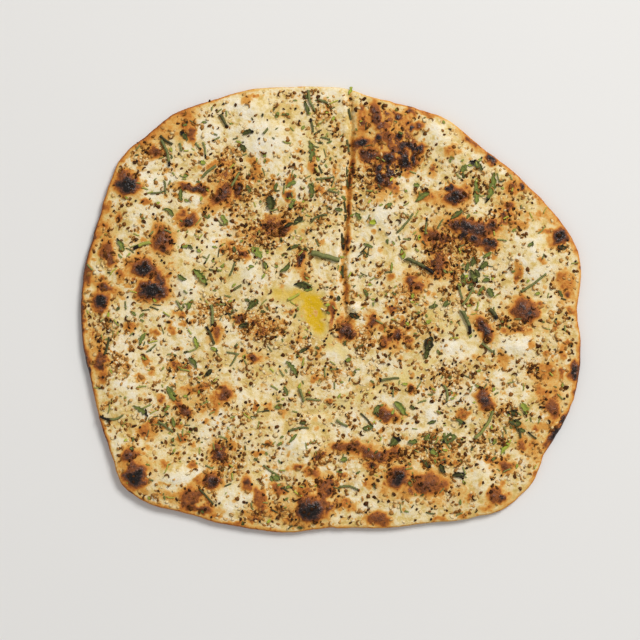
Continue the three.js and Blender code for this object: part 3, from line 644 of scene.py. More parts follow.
def gridPlaces(count):
    # a square of cells wrapped on to the bread's outline
    steps = np.linspace(-1.0, 1.0, count + 1)
    across, up = np.meshgrid(steps, steps)
    share = np.maximum(np.abs(across), np.abs(up))
    safe = np.where(share == 0, 1.0, share)
    wide = np.abs(across) >= np.abs(up)
    quarter = math.pi / 4
    turnWide = np.where(wide, up / np.where(across == 0, 1.0, across), 0.0) * quarter
    turnTall = 2 * quarter - np.where(wide, 0.0, across / np.where(up == 0, 1.0, up)) * quarter
    angle = np.where(wide, turnWide, turnTall)
    flipped = np.where(wide, across < 0, up < 0)
    angle = angle + np.where(flipped, math.pi, 0.0)
    angle = np.arctan2(np.sin(angle), np.cos(angle))
    reach = share / safe * share * (edgeRadius(angle) - bread["edgeRound"])
    return reach * np.cos(angle), reach * np.sin(angle)


def edgeCorners(count):
    # the grid's border as columns and rows, once round
    corners = [(i, 0) for i in range(count)]
    corners += [(count, i) for i in range(count)]
    corners += [(i, count) for i in range(count, 0, -1)]
    corners += [(0, i) for i in range(count, 0, -1)]
    return corners


def castHeights(x, y, fromAbove):
    # heights of the CAD bread's skin, in millimetres
    start = 0.1 if fromAbove else -0.1
    way = Vector((0, 0, -1 if fromAbove else 1))
    heights = np.zeros(x.size)
    for i, (px, py) in enumerate(zip(x.ravel() * mm, y.ravel() * mm)):
        hit = cadSkin.ray_cast(Vector((px, py, start)), way)[0]
        if hit is None:
            hit = cadSkin.find_nearest(Vector((px, py, 0.004)))[0]
        heights[i] = hit.z / mm
    return heights.reshape(x.shape)


def edgeBrown(direction):
    # width and depth of the browning at the edge, by direction in degrees
    rows = np.array(edgeBrowning)
    width = np.interp(direction, rows[:, 0], rows[:, 1], period=360)
    depth = np.interp(direction, rows[:, 0], rows[:, 2], period=360)
    return width, depth


def bakeMarks(x, y):
    # what the oven did at each place, and how far from the edge that is
    wander, fray = baking["wander"], baking["fray"]
    warpX = x + wander * layeredNoise(x, y, 9, 21) + fray * softNoise(x, y, 3.2, 22)
    warpY = y + wander * layeredNoise(x, y, 9, 23) + fray * softNoise(x, y, 3.2, 24)
    uneven = layeredNoise(x, y, 5.5, 26)
    fleck = softNoise(x, y, 2.9, 29)
    char = np.zeros(x.shape)
    toast = strongest(warpX, warpY, toastPatches, 0.35, 1.55, 0.3 * uneven)
    rise = baking["patchRise"] * strongest(warpX, warpY, toastPatches, 0.2, 1.3)
    for *oval, height, blackness, ring in charBlisters:
        share = ovalShare(warpX, warpY, *oval)
        core = 1 - easeBetween(share + 0.3 * uneven, 0.38, 1.4)
        char = np.maximum(char, blackness * core * (1.3 - 0.4 * np.minimum(share, 1.1) + 0.22 * fleck))
        reach = 1.3 + 1.9 * ring / min(oval[2], oval[3])
        rim = baking["rim"] * (1 - easeBetween(share + 0.2 * uneven, 0.8, 1.5))
        glow = baking["glow"] * (1 - easeBetween(share + 0.4 * uneven, 0.8, reach))
        heat = 0.76 + 0.24 * min(blackness / 0.6, 1.0)
        toast = np.maximum(toast, heat * (rim + glow))
        rise = np.maximum(rise, baking["blisterRise"] * height * (1 - easeBetween(share, 0.1, 1.75)))
    net = easeBetween(layeredNoise(x, y, 6, 27) + 0.6 * softNoise(x, y, 2.6, 28), 0.0, 0.28)
    netChar = strongest(warpX, warpY, scorchedNets, 0.55, 1.25)
    netToast = strongest(warpX, warpY, withAmounts(scorchedNets, lambda depth: 0.3 + 0.4 * depth), 0.55, 1.25)
    char = np.maximum(char, netChar * net * (1.1 + 0.3 * fleck))
    toast = np.maximum(toast, netToast * (0.36 + 0.84 * net))
    pale = strongest(warpX, warpY, withAmounts(paleBubbles, lambda height: 1.0), 0.4, 1.5)
    for *oval, height in paleBubbles:
        rise = rise + height * (1 - easeBetween(ovalShare(warpX, warpY, *oval), 0.0, 1.4))
    butter = strongest(warpX, warpY, butterPools, 0.2, 1.5, 0.2 * uneven)
    direction = np.arctan2(y + bakersMark[1], x + bakersMark[0])
    inward = edgeRadius(direction) - np.hypot(x + bakersMark[0], y + bakersMark[1])
    width, depth = edgeBrown(np.degrees(direction))
    ragged = inward + 1.8 * layeredNoise(x, y, 5, 25)
    edgeToast = depth * (1 - easeBetween(ragged / width, 0.1, 1.4))
    edgeLine = depth * (1 - easeBetween(inward + 0.5 * uneven, 0.3, 1.9))
    toast = np.maximum(toast, baking["edgeToast"] * edgeToast)
    toast = np.maximum(toast, baking["edgeLine"] * edgeLine ** 1.3)
    char = np.maximum(char, 0.9 * easeBetween(edgeToast, 0.62, 0.85))
    return {"char": char, "toast": toast, "pale": pale, "butter": butter, "rise": rise, "inward": inward}


def bareness(x, y):
    # 1 where the seasoning lies as strewn, less where it is nearly bare
    return 1 - strongest(x, y, barePlaces, 0.6, 1.3)


def seasonAt(x, y):
    # how thickly the garlic and seeds lie, 0 to 1
    warpX = x + 3.5 * layeredNoise(x, y, 11, 31)
    warpY = y + 3.5 * layeredNoise(x, y, 11, 32)
    season = 0.16 + 0.1 * layeredNoise(x, y, 18, 33)
    season = np.maximum(season, strongest(warpX, warpY, seasonedPlaces, 0.45, 1.35))
    for *oval, _ in paleBubbles:
        season = season * (0.25 + 0.75 * easeBetween(ovalShare(warpX, warpY, *oval), 0.5, 1.3))
    return np.clip(season, 0.0, 1.0) * bareness(x, y)


def ridge(distance, breadth):
    # a rounded ridge of height 1
    return np.exp(-(distance / breadth) ** 2)


def foldRelief(x, y):
    # the straight fold is a pinched valley with a bank on each side, the soft one a shallow dip
    gap = beside(x, y, straightFold) + 1.0 * layeredNoise(x, y, 9, 41) + 0.5 * softNoise(x, y, 3, 43)
    fade = easeBetween(y, -24, 0)
    breadth = 1.7 + 1.1 * (1 - easeBetween(y, 20, 45))
    banks = ridge(gap + 4.4, 3.6) + 0.9 * ridge(gap - 5.0, 3.8)
    straight = fade * (bread["foldBank"] * banks - bread["foldDepth"] * ridge(gap, breadth))
    lipGap = beside(x, y, butterLip) + 0.6 * softNoise(x, y, 4, 45)
    lip = bread["lipHeight"] * ridge(lipGap, 1.4) * easeBetween(np.abs(y), 19, 14)
    softGap = beside(x, y, softFold) + 1.5 * layeredNoise(x, y, 12, 42)
    soft = bread["softFoldDepth"] * (ridge(softGap - 4, 4) - ridge(softGap, 2.6))
    # the valley's bank is brown in three stretches, and the valley is painted a little darker all along as
    # shade
    stretches = ridge(y - 88, 26) + ridge(y - 45, 9) + 0.5 * ridge(y - 12, 18)
    browned = ridge(gap - 2.0, 2.3) * easeBetween(layeredNoise(x, y, 7, 44), -0.9, 0.2)
    browned = browned * np.clip(stretches + 0.2, 0, 1)
    paintedShade = 0.25 * ridge(gap - 0.6, 2.6)
    # the second value is the fold's browning together with its painted shade
    return straight + soft + lip, fade * np.maximum(browned, paintedShade)


# What is strewn: how many, the least gap between two of a kind, how long they are, how thick for their
# width, and the share of their thickness that is baked in. Seeds have a length, a width and a thickness.
# Tones are drawn from a beta curve, and darkened where the crust is brown and, as painted shade, in the
# straight fold's valley.
strewing = {
    "toasted": {
        "count": 1860, "apart": 2.3, "length": (2.1, 5.0), "flat": 0.62, "sink": 0.28,
        "tones": (1.6, 1.6), "darkening": 0.35,
    },
    "golden": {
        "count": 2750, "apart": 2.2, "length": (2.4, 5.8), "flat": 0.45, "sink": 0.5,
        "tones": (1.5, 1.2), "darkening": 1.6,
    },
    "curls": {
        "count": 920, "apart": 3.2, "length": (2.3, 4.4), "sink": 0.3,
        "tones": (1.8, 1.5), "darkening": 0.4,
    },
    "seeds": {
        "count": 340, "apart": 2.2, "sizes": ((2.0, 2.7), (1.2, 1.5), (1.0, 1.3)), "sink": 0.15,
        "tones": (1, 1), "darkening": 0,
    },
    "bits": {"sink": 0.3, "tone": 0.12},
    "flecks": {"count": 720, "apart": 2.5},
    "field": (184, 166),         # half the length and width of the field that places are drawn from
    "edgeGap": 3.0,              # left clear along the edge
}


def strewPlaces(kind, weightAt, seed):
    # random places inside the edge, taken as often as their weight says, no two of a kind too close
    count = strewing[kind]["count"]
    apart = strewing[kind]["apart"]
    random = np.random.default_rng(seed)
    batch = 6000
    kept = []
    taken = {}
    while len(kept) < count:
        tries = np.column_stack([random.uniform(-half, half, batch) for half in strewing["field"]])
        direction = np.arctan2(tries[:, 1] + bakersMark[1], tries[:, 0] + bakersMark[0])
        radius = np.hypot(tries[:, 0] + bakersMark[0], tries[:, 1] + bakersMark[1])
        inside = radius < edgeRadius(direction) - strewing["edgeGap"]
        lucky = random.uniform(0, 1, len(tries)) < weightAt(tries[:, 0], tries[:, 1])
        for x, y in tries[inside & lucky].tolist():
            column, row = int(x // apart), int(y // apart)
            near = []
            for i in (column - 1, column, column + 1):
                for j in (row - 1, row, row + 1):
                    near += taken.get((i, j), [])
            if all((x - otherX) ** 2 + (y - otherY) ** 2 > apart ** 2 for otherX, otherY in near):
                taken.setdefault((column, row), []).append((x, y))
                kept.append((x, y))
    return np.array(kept[:count])


def clumped(x, y, seed):
    # crumbs gather in clumps, and none settle in the deep butter
    drowned = strongest(x, y, deepButter, 0.55, 1.0)
    return easeBetween(layeredNoise(x, y, 6, seed), -0.45, 0.35) * (1 - drowned)


def toastedWeight(x, y):
    return np.clip((0.05 * bareness(x, y) + seasonAt(x, y) ** 1.25) * 1.1 * clumped(x, y, 51), 0, 1)


def goldenWeight(x, y):
    marks = bakeMarks(x, y)
    wanted = 0.14 * bareness(x, y) + 0.8 * seasonAt(x, y)
    return np.clip(wanted * clumped(x, y, 52) * (1 - 3 * marks["char"] - 0.8 * marks["toast"]), 0, 1)


def seedWeight(x, y):
    return np.clip(seasonAt(x, y) ** 1.1 * 1.3 * clumped(x, y, 53), 0, 1)


def fleckWeight(x, y):
    herby = np.maximum(0.14 + 0.2 * seasonAt(x, y), strongest(x, y, herbyPlaces, 0.4, 1.4))
    unburnt = 1 - 3 * bakeMarks(x, y)["char"]
    return np.clip(herby * bareness(x, y) * clumped(x, y, 54) * unburnt, 0, 1)


# The places are drawn before the dough is made, because each dark crumb toasts the dough under it.
toastedPlaces = strewPlaces("toasted", toastedWeight, 61)
goldenPlaces = strewPlaces("golden", goldenWeight, 62)
seedPlaces = strewPlaces("seeds", seedWeight, 63)
fleckPlaces = strewPlaces("flecks", fleckWeight, 64)
curlPlaces = strewPlaces("curls", toastedWeight, 65)
print("seasoning strewn")


def singedBy(x, y, *crumbsAndHeats):
    # how much the crumbs lying near each place have toasted the dough, read from a map of small squares
    square = baking["singeSquare"]
    reach = np.array([190.0, 170.0])
    heat = np.zeros((2 * reach / square).astype(int))
    for places, warmth in crumbsAndHeats:
        index = ((places + reach) / square).astype(int)
        np.add.at(heat, (index[:, 0], index[:, 1]), warmth)
    kernel = np.exp(-0.5 * (np.arange(-10, 11) / baking["singeBlur"]) ** 2)
    for axis in (0, 1):
        heat = np.apply_along_axis(np.convolve, axis, heat, kernel, mode="same")
    heat = np.clip(heat, 0, baking["singeMost"])
    column = np.clip((x + reach[0]) / square, 0, heat.shape[0] - 2)
    row = np.clip((y + reach[1]) / square, 0, heat.shape[1] - 2)
    i, j = column.astype(int), row.astype(int)
    u, v = column - i, row - j
    left = heat[i, j] * (1 - v) + heat[i, j + 1] * v
    right = heat[i + 1, j] * (1 - v) + heat[i + 1, j + 1] * v
    return left * (1 - u) + right * u


def smoothHeights(heights):
    # irons the CAD's facets out of a grid of heights, five rows and then five columns at a time
    for _ in range(bread["blur"]):
        padded = np.pad(heights, 2, mode="edge")
        rows = sum(padded[i:i + heights.shape[0], 2:-2] for i in range(5)) / 5
        padded = np.pad(rows, 2, mode="edge")
        heights = sum(padded[2:-2, i:i + heights.shape[1]] for i in range(5)) / 5
    return heights


def crustRelief(x, y, marks, folds):
    # how far the baked crust stands off the plain CAD skin
    calm = 1 - 0.6 * marks["pale"]
    relief = marks["rise"] + folds
    relief = relief + bread["swell"] * layeredNoise(x, y, 22, 71)
    relief = relief + bread["dimple"] * layeredNoise(x, y, 6.5, 72) * calm
    relief = relief + bread["pore"] * layeredNoise(x, y, 2.8, 73) * calm
    wrinkle = 1 - 2.2 * np.abs(layeredNoise(x * 1.3 + y * 0.4, y * 1.1, 3.4, 74))
    relief = relief + bread["crinkle"] * wrinkle * easeBetween(marks["char"], 0.2, 0.7)
    relief = relief * easeBetween(marks["inward"], 0.5, 9.0)
    return relief - bread["butterSink"] * easeBetween(marks["butter"], 0.5, 1.0)


def roundedRim(border, ring, firstNew):
    # rings of points that turn the crust's border over and under
    radius = np.hypot(border[:, 0], border[:, 1])
    tuck = bread["tuckUnder"]
    under = castHeights(border[:, 0] * tuck, border[:, 1] * tuck, False)
    middle = (border[:, 2] + under) / 2
    half = (border[:, 2] - under) / 2
    points = []
    rings = [ring]
    for step in range(1, bread["edgeRings"] + 1):
        angle = math.pi * step / bread["edgeRings"]
        out = 1 + bread["edgeRound"] * math.sin(angle) / radius
        level = middle + half * math.cos(angle)
        points.append(np.column_stack([border[:, 0] * out, border[:, 1] * out, level]))
        start = firstNew + (step - 1) * len(ring)
        rings.append(list(range(start, start + len(ring))))
    faces = []
    for upper, lower in zip(rings, rings[1:]):
        for i in range(len(ring)):
            following = (i + 1) % len(ring)
            faces.append([upper[i], lower[i], lower[following], upper[following]])
    return np.concatenate(points), faces, rings[-1]


def dimpledUnderside(corners, lastRing, firstNew):
    # a coarser sheet below, sewn to the last ring of the rim
    every = bread["undersideEvery"]
    coarse = bread["cells"] // every
    x, y = gridPlaces(coarse)
    level = castHeights(x * bread["tuckUnder"], y * bread["tuckUnder"], False)
    dimples = 0.5 + 0.5 * layeredNoise(x, y, 14, 75)
    level = np.maximum(level, 0) + bread["undersideDimple"] * dimples
    onRing = dict(zip(corners, lastRing))
    at = np.zeros((coarse + 1, coarse + 1), int)
    points = []
    for row in range(coarse + 1):
        for column in range(coarse + 1):
            if 0 < row < coarse and 0 < column < coarse:
                at[row, column] = firstNew + len(points)
                points.append((x[row, column], y[row, column], level[row, column]))
            else:
                at[row, column] = onRing[(column * every, row * every)]
    faces = []
    for row in range(coarse):
        for column in range(coarse):
            walk = [(column, row), (column, row + 1), (column + 1, row + 1), (column + 1, row)]
            face = []
            for (c, r), (nextC, nextR) in zip(walk, walk[1:] + walk[:1]):
                face.append(int(at[r, c]))
                onEdge = c == nextC and c in (0, coarse) or r == nextR and r in (0, coarse)
                if onEdge:
                    for k in range(1, every):
                        face.append(onRing[(c * every + (nextC - c) * k, r * every + (nextR - r) * k)])
            faces.append(face)
    return np.array(points), faces


def hiddenReadings(points, rimCount):
    # readings of the rim and the underside: the edge's browning, and a few toasted spots below
    depth = edgeBrown(np.degrees(np.arctan2(points[:, 1], points[:, 0])))[1]
    onRim = np.arange(len(points)) < rimCount
    spots = easeBetween(layeredNoise(points[:, 0], points[:, 1], 16, 81), 0.08, 0.5)
    spots = spots * (0.5 + 0.5 * layeredNoise(points[:, 0], points[:, 1], 5, 82))
    return {
        "char": np.where(onRim, 0.85 * easeBetween(depth, 0.7, 0.95), 0.0),
        "toast": np.where(onRim, 1.1 * depth, 0.75 * spots),
        "underside": np.where(onRim, 0.0, 1.0),
    }


def makeBread():
    count = bread["cells"]
    boxX, boxY = gridPlaces(count)
    x = boxX - bakersMark[0]
    y = boxY - bakersMark[1]
    marks = bakeMarks(x, y)
    folds, foldBrownAndShade = foldRelief(x, y)
    heights = smoothHeights(castHeights(boxX * bread["tuckIn"], boxY * bread["tuckIn"], True))
    heights = heights + crustRelief(x, y, marks, folds)
    crust = np.column_stack([boxX.ravel(), boxY.ravel(), heights.ravel()])
    at = np.arange(len(crust)).reshape(count + 1, count + 1)
    squares = np.stack([at[:-1, :-1], at[:-1, 1:], at[1:, 1:], at[1:, :-1]], axis=-1)
    crustFaces = squares.reshape(-1, 4).tolist()
    corners = edgeCorners(count)
    ring = [int(at[row, column]) for column, row in corners]
    rim, rimFaces, lastRing = roundedRim(crust[ring], ring, len(crust))
    under, underFaces = dimpledUnderside(corners, lastRing, len(crust) + len(rim))
    hidden = np.concatenate([rim, under])
    shown = {name: marks[name] for name in ("char", "toast", "pale", "butter")}
    shown["season"] = seasonAt(x, y)
    heats = (toastedPlaces, 1.0), (curlPlaces, 1.0), (seedPlaces, 0.4), (goldenPlaces, 0.2)
    shown["singe"] = singedBy(x, y, *heats)
    shown["foldBrownAndShade"] = foldBrownAndShade
    shown["underside"] = np.zeros(x.shape)
    below = hiddenReadings(hidden, len(rim))
    plain = np.zeros(len(hidden))
    readings = {name: np.append(values.ravel(), below.get(name, plain)) for name, values in shown.items()}
    points = np.concatenate([crust, hidden])
    piece = addPiece("naan_bread_baked", points, crustFaces + rimFaces + underFaces, readings)
    return piece, BVHTree.FromPolygons((crust * mm).tolist(), crustFaces)


doughLook = {
    "roughness": 0.6,
    "specular": 0.28,
    "stir": 3.0,                 # how far the cells are pushed out of their regular shape
    "mincedSize": 2.6,
    "gapSize": 3.0,
    "freckles": [(6.5, 0.62, 0.5), (3.2, 0.66, 0.42), (1.7, 0.7, 0.4)],  # size, rarity, depth
    "plain": [                   # from soaked and golden to dry and floury
        (0.0, paint(198, 164, 86)), (0.25, paint(213, 184, 112)), (0.5, paint(228, 207, 156)),
        (0.75, paint(232, 218, 182)), (1.0, paint(236, 226, 202)),
    ],
    "gapOilAndShade": paint(200, 160, 84),
    "garlicCream": paint(238, 226, 196),
    "oiled": paint(213, 189, 106),
    "pooled": paint(210, 168, 10),
    "underside": paint(226, 204, 160),
    "browned": [
        (0.0, paint(226, 194, 132)), (0.2, paint(219, 176, 99)), (0.38, paint(207, 146, 62)),
        (0.54, paint(189, 115, 37)), (0.68, paint(152, 84, 29)), (0.82, paint(112, 60, 20)),
        (1.0, paint(66, 34, 10)),
    ],
    "burnt": [
        (0.0, paint(178, 106, 44)), (0.26, paint(158, 90, 38)), (0.42, paint(126, 70, 34)),
        (0.6, paint(88, 54, 38)), (0.8, paint(50, 34, 27)), (1.0, paint(26, 18, 13)),
    ],
    "ash": paint(150, 102, 78),
}


def stirredPlace(tree, place):
    # the place pushed about by noise, so that cells drawn on it look torn rather than cut
    reach = doughLook["stir"] * mm
    noise = tree.nodes.new("ShaderNodeTexNoise")
    tree.links.new(place, noise.inputs["Vector"])
    noise.inputs["Scale"].default_value = 1 / reach
    push = tree.nodes.new("ShaderNodeVectorMath")
    push.operation = "SCALE"
    push.inputs["Scale"].default_value = reach
    tree.links.new(noise.outputs["Color"], push.inputs[0])
    pushed = tree.nodes.new("ShaderNodeVectorMath")
    pushed.operation = "ADD"
    tree.links.new(place, pushed.inputs[0])
    tree.links.new(push.outputs["Vector"], pushed.inputs[1])
    return pushed.outputs["Vector"]


def plainDough(tree, noise, marks):
    dryness = added(
        tree, 0.58, swing(tree, noise["broad"], 1.4), swing(tree, noise["patchy"], 1.6),
        swing(tree, noise["fine"], 1.1), swing(tree, noise["floury"], 1.3),
        times(tree, marks["season"], -0.38), times(tree, marks["pale"], 0.2),
        times(tree, marks["butter"], -0.35),
    )
    return colourSteps(tree, dryness, doughLook["plain"])


def garlickyDough(tree, stirred, marks, colour):
    # minced garlic baked in: cream lumps with gaps that are oily and painted darker as shade between the
    # lumps
    minced = cells(tree, stirred, doughLook["mincedSize"])
    lumps = spread(tree, minced.outputs["Distance"], 0.6, 0.2)
    lucky = spread(tree, minced.outputs["Color"], 0.3, 0.7)
    creamy = times(tree, lumps, lucky, spread(tree, marks["season"], 0.05, 0.55), 0.75)
    between = spread(tree, minced.outputs["Distance"], 0.35, 0.65)
    oilAndShadeInGaps = times(tree, between, spread(tree, marks["season"], 0.05, 0.6), 0.75)
    colour = blendColours(tree, oilAndShadeInGaps, colour, doughLook["gapOilAndShade"])
    return blendColours(tree, creamy, colour, doughLook["garlicCream"])


def butteredDough(tree, noise, marks, colour):
    soaked = spread(tree, added(tree, marks["butter"], swing(tree, noise["patchy"], 0.7)), 0.04, 0.42)
    pooled = spread(tree, added(tree, marks["butter"], swing(tree, noise["patchy"], 0.5)), 0.34, 0.9)
    colour = blendColours(tree, times(tree, soaked, 0.68), colour, doughLook["oiled"])
    return blendColours(tree, pooled, colour, doughLook["pooled"])


def gapToastAndShade(tree, stirred, noise, marks):
    # thin brown threads between the lumps of garlic: toasting, and painted shade in the gaps
    gaps = cells(tree, stirred, doughLook["gapSize"])
    gaps.feature = "DISTANCE_TO_EDGE"
    thread = spread(tree, added(tree, gaps.outputs["Distance"], swing(tree, noise["fine"], 0.1)), 0.12, 0.02)
    garlicky = added(tree, marks["season"], swing(tree, noise["patchy"], 1.6))
    return times(tree, thread, spread(tree, garlicky, 0.4, 0.8))


def freckles(tree, stirred, marks):
    # round brown spots of three sizes, faintest on the pale bubbles
    deepest = 0.0
    for size, rarity, depth in doughLook["freckles"]:
        spots = cells(tree, stirred, size)
        near = spread(tree, spots.outputs["Distance"], 0.5, 0.12)
        chance = added(tree, spots.outputs["Color"], times(tree, marks["season"], 0.28))
        lucky = spread(tree, chance, rarity, rarity + 0.2)
        deepest = reckon(tree, "MAXIMUM", deepest, times(tree, near, lucky, depth))
    return times(tree, deepest, spread(tree, marks["pale"], 0.9, 0.2, 0.35, 1.0))


def bakedDoughFinish():
    finish, tree, shader = newFinish("bakedDough", doughLook["roughness"], doughLook["specular"])
    place = objectPlace(tree)
    stirred = stirredPlace(tree, place)
    noise = {
        "broad": grain(tree, place, 32, 4),
        "patchy": grain(tree, place, 8, 5, 0.6),
        "floury": grain(tree, place, 5, 3),
        "fine": grain(tree, place, 2.3, 4, 0.62),
        "dust": grain(tree, place, 0.9, 3, 0.6),
    }
    names = ("char", "toast", "pale", "butter", "season", "singe", "foldBrownAndShade", "underside")
    marks = {name: reading(tree, name) for name in names}
    colour = plainDough(tree, noise, marks)
    colour = garlickyDough(tree, stirred, marks, colour)
    colour = butteredDough(tree, noise, marks, colour)
    colour = blendColours(tree, times(tree, marks["underside"], 0.6), colour, doughLook["underside"])

    # browning: the oven's patches, the folds with painted shade in the straight fold's valley, the singeing
    # round dark crumbs, the gaps between garlic lumps with their painted shade, and the freckles
    unevenness = added(tree, swing(tree, noise["patchy"], 0.45), swing(tree, noise["fine"], 0.5))
    singe = times(tree, added(tree, marks["singe"], swing(tree, noise["fine"], 1.2)), 0.14)
    # the straight fold's reading brings its browning and its painted shade into the toast
    toast = reckon(tree, "MAXIMUM", marks["toast"], times(tree, marks["foldBrownAndShade"], 0.95))
    toast = reckon(tree, "MAXIMUM", toast, singe)
    spotted = times(tree, freckles(tree, stirred, marks), 0.7)
    threadsToastAndShade = times(tree, gapToastAndShade(tree, stirred, noise, marks), 0.42)
    browning = added(tree, toast, spotted, unevenness, threadsToastAndShade)
    browned = colourSteps(tree, browning, doughLook["browned"])
    colour = blendColours(tree, spread(tree, browning, 0.04, 0.3), colour, browned)

    # char: black skins with paler cracks and a little ash
    cracked = reckon(tree, "ABSOLUTE", swing(tree, grain(tree, place, 3.4, 2, 0.5), 2.0))
    cracks = spread(tree, cracked, 0.12, 0.0)
    char = added(tree, marks["char"], times(tree, unevenness, 1.5), times(tree, cracks, -0.2))
    ashy = spread(tree, grain(tree, place, 1.5, 2, 0.5), 0.54, 0.7)
    ash = times(tree, ashy, spread(tree, char, 1.0, 0.5), 0.5)
    burnt = blendColours(tree, ash, colourSteps(tree, char, doughLook["burnt"]), doughLook["ash"])
    burning = spread(tree, char, 0.16, 0.5)
    tree.links.new(blendColours(tree, burning, colour, burnt), shader.inputs["Base Color"])

    # butter and char shine, and the underside is dull
    dull = doughLook["roughness"]
    roughness = spread(tree, noise["fine"], 0.3, 0.7, dull, dull + 0.14)
    roughness = added(tree, roughness, times(tree, marks["butter"], -0.36), times(tree, burning, -0.34))
    roughness = reckon(tree, "ADD", roughness, times(tree, marks["underside"], 0.2), True)
    tree.links.new(roughness, shader.inputs["Roughness"])
    crackle = times(tree, cells(tree, place, 1.9).outputs["Distance"], burning)
    bumps = [(noise["patchy"], 0.5, 1.6), (noise["fine"], 0.6, 0.9), (noise["dust"], 0.4, 0.35)]
    raiseBumps(tree, shader, bumps + [(crackle, 0.8, 0.8)])
    return finish


naanBread, crustSkin = makeBread()
dress(naanBread, bakedDoughFinish(), "baked_dough", "naan_bread")
print("bread baked:", len(naanBread.data.vertices), "points")


def crustHeight(x, y):
    # height of the finished crust at a place, in millimetres
    hit = crustSkin.ray_cast(Vector((x * mm, y * mm, 0.1)), Vector((0, 0, -1)))[0]
    return bread["offCrust"] if hit is None else hit.z / mm


def pebble(subdivisions, seed, bumpiness):
    # one angular crumb about one unit across, as points and triangles
    shape = bmesh.new()
    bmesh.ops.create_icosphere(shape, subdivisions=subdivisions, radius=0.5)
    random = np.random.default_rng(seed)
    points = np.array([vertex.co for vertex in shape.verts])
    triangles = np.array([[vertex.index for vertex in face.verts] for face in shape.faces])
    shape.free()
    points = points * (1 + random.uniform(-bumpiness, bumpiness, (len(points), 1)))
    return points, triangles


def seedShape():
    # a plump three-sided drop with a pointed end
    points, triangles = pebble(2, 5, 0.03)
    along = points[:, 0] + 0.5
    narrow = 0.35 + 0.95 * np.sin(math.pi * np.clip(along, 0.04, 1) ** 1.4)
    angle = np.arctan2(points[:, 2], points[:, 1])
    ribs = 1 + 0.12 * np.cos(3 * angle)
    points[:, 1] *= narrow * ribs
    points[:, 2] *= narrow * ribs
    return points, triangles


def curlShape(seed):
    # a little burnt shaving bent round in an arc
    random = np.random.default_rng(seed)
    sweep = random.uniform(1.1, 3.6)
    points, triangles = [], []
    rings, sides = 7, 5
    for ring in range(rings):
        share = ring / (rings - 1)
        angle = sweep * (share - 0.5)
        thick = 0.17 * math.sin(math.pi * min(max(share, 0.08), 0.92)) ** 0.5 * random.uniform(0.8, 1.25)
        for side in range(sides):
            around = 2 * math.pi * side / sides
            out = 0.5 + thick * math.cos(around)
            points.append((out * math.cos(angle), out * math.sin(angle), thick * math.sin(around)))
    for ring in range(rings - 1):
        for side in range(sides):
            a, b = ring * sides + side, ring * sides + (side + 1) % sides
            triangles += [(a, b, b + sides), (a, b + sides, a + sides)]
    last = (rings - 1) * sides
    for side in range(1, sides - 1):
        triangles += [(0, side + 1, side), (last, last + side, last + side + 1)]
    points = np.array(points)
    return points - (points.max(0) + points.min(0)) / 2, np.array(triangles)


def turned(points, spin, tilt, roll):
    turn = Matrix.Rotation(spin, 3, "Z") @ Matrix.Rotation(tilt, 3, "Y") @ Matrix.Rotation(roll, 3, "X")
    return points @ np.array(turn).T


def strewPieces(name, kind, shapes, places, sizeAt, seed, tones):
    # many small crumbs joined in one mesh, each with its own size, turn and tone
    random = np.random.default_rng(seed)
    points, triangles, shades = [], [], []
    total = 0
    for i, ((x, y), tone) in enumerate(zip(places, tones)):
        shapePoints, shapeTriangles = shapes[random.integers(len(shapes))]
        size = np.array(sizeAt(random, i))
        spin = random.uniform(0, 2 * math.pi)
        tilt, roll = random.normal(0, 0.25, 2)
        boxX, boxY = x + bakersMark[0], y + bakersMark[1]
        level = crustHeight(boxX, boxY) + size[2] * (0.5 - strewing[kind]["sink"])
        points.append(turned(shapePoints * size, spin, tilt, roll) + np.array([boxX, boxY, level]))
        triangles.append(shapeTriangles + total)
        shades.append(np.full(len(shapePoints), tone))
        total += len(shapePoints)
    faces = np.concatenate(triangles).tolist()
    return addPiece(name, np.concatenate(points), faces, {"tone": np.concatenate(shades)})


def crumbTones(kind, places, seed):
    # random tones, darker where the crust below is browner, and darker in the straight fold's valley as
    # painted shade
    random = np.random.default_rng(seed)
    marks = bakeMarks(places[:, 0], places[:, 1])
    foldBrownAndShade = foldRelief(places[:, 0], places[:, 1])[1]
    browningAndShade = 0.6 * marks["toast"] + 1.5 * marks["char"] + 0.6 * foldBrownAndShade
    tones = random.beta(*strewing[kind]["tones"], len(places))
    return np.clip(tones - strewing[kind]["darkening"] * browningAndShade, 0, 1)


def crumbSize(kind):
    # draws a crumb's length, width and thickness
    shortest, longest = strewing[kind]["length"]

    def draw(random, i):
        length = shortest + (longest - shortest) * random.beta(1.6, 3.0)
        width = length * random.uniform(0.45, 0.92)
        return length, width, min(width, 1.6) * strewing[kind]["flat"] * random.uniform(0.8, 1.2)
    return draw


def curlSize(random, i):
    return (random.uniform(*strewing["curls"]["length"]),) * 3


def bitSize(random, i):
    size = burntBits[i][2]
    return size * 1.15, size * random.uniform(0.6, 0.9), min(size * 0.6, 1.6)


def seedSize(random, i):
    return [random.uniform(*span) for span in strewing["seeds"]["sizes"]]


# Colours from a crumb's darkest tone, 0, to its lightest, 1.
crumbLooks = {
    "toastedGarlic": {
        "tones": [
            (0.0, paint(54, 29, 8)), (0.3, paint(88, 50, 17)), (0.6, paint(134, 84, 32)),
            (1.0, paint(190, 138, 68)),
        ],
        "roughness": 0.6,
        "specular": 0.1,
    },
    "goldenGarlic": {
        "tones": [
            (0.0, paint(156, 104, 46)), (0.35, paint(200, 152, 82)), (0.65, paint(222, 194, 136)),
            (1.0, paint(230, 210, 164)),
        ],
        # painted shade: the steep sides are coloured browner, as light from above would leave them
        "sides": paint(180, 126, 58),    # the steep sides of a golden crumb are browner
        "roughness": 0.6,
        "specular": 0.15,
    },
    "nigellaSeed": {
        "tones": [(0.0, paint(26, 16, 8)), (1.0, paint(56, 36, 20))],
        "roughness": 0.5,
        "specular": 0.15,
    },
}


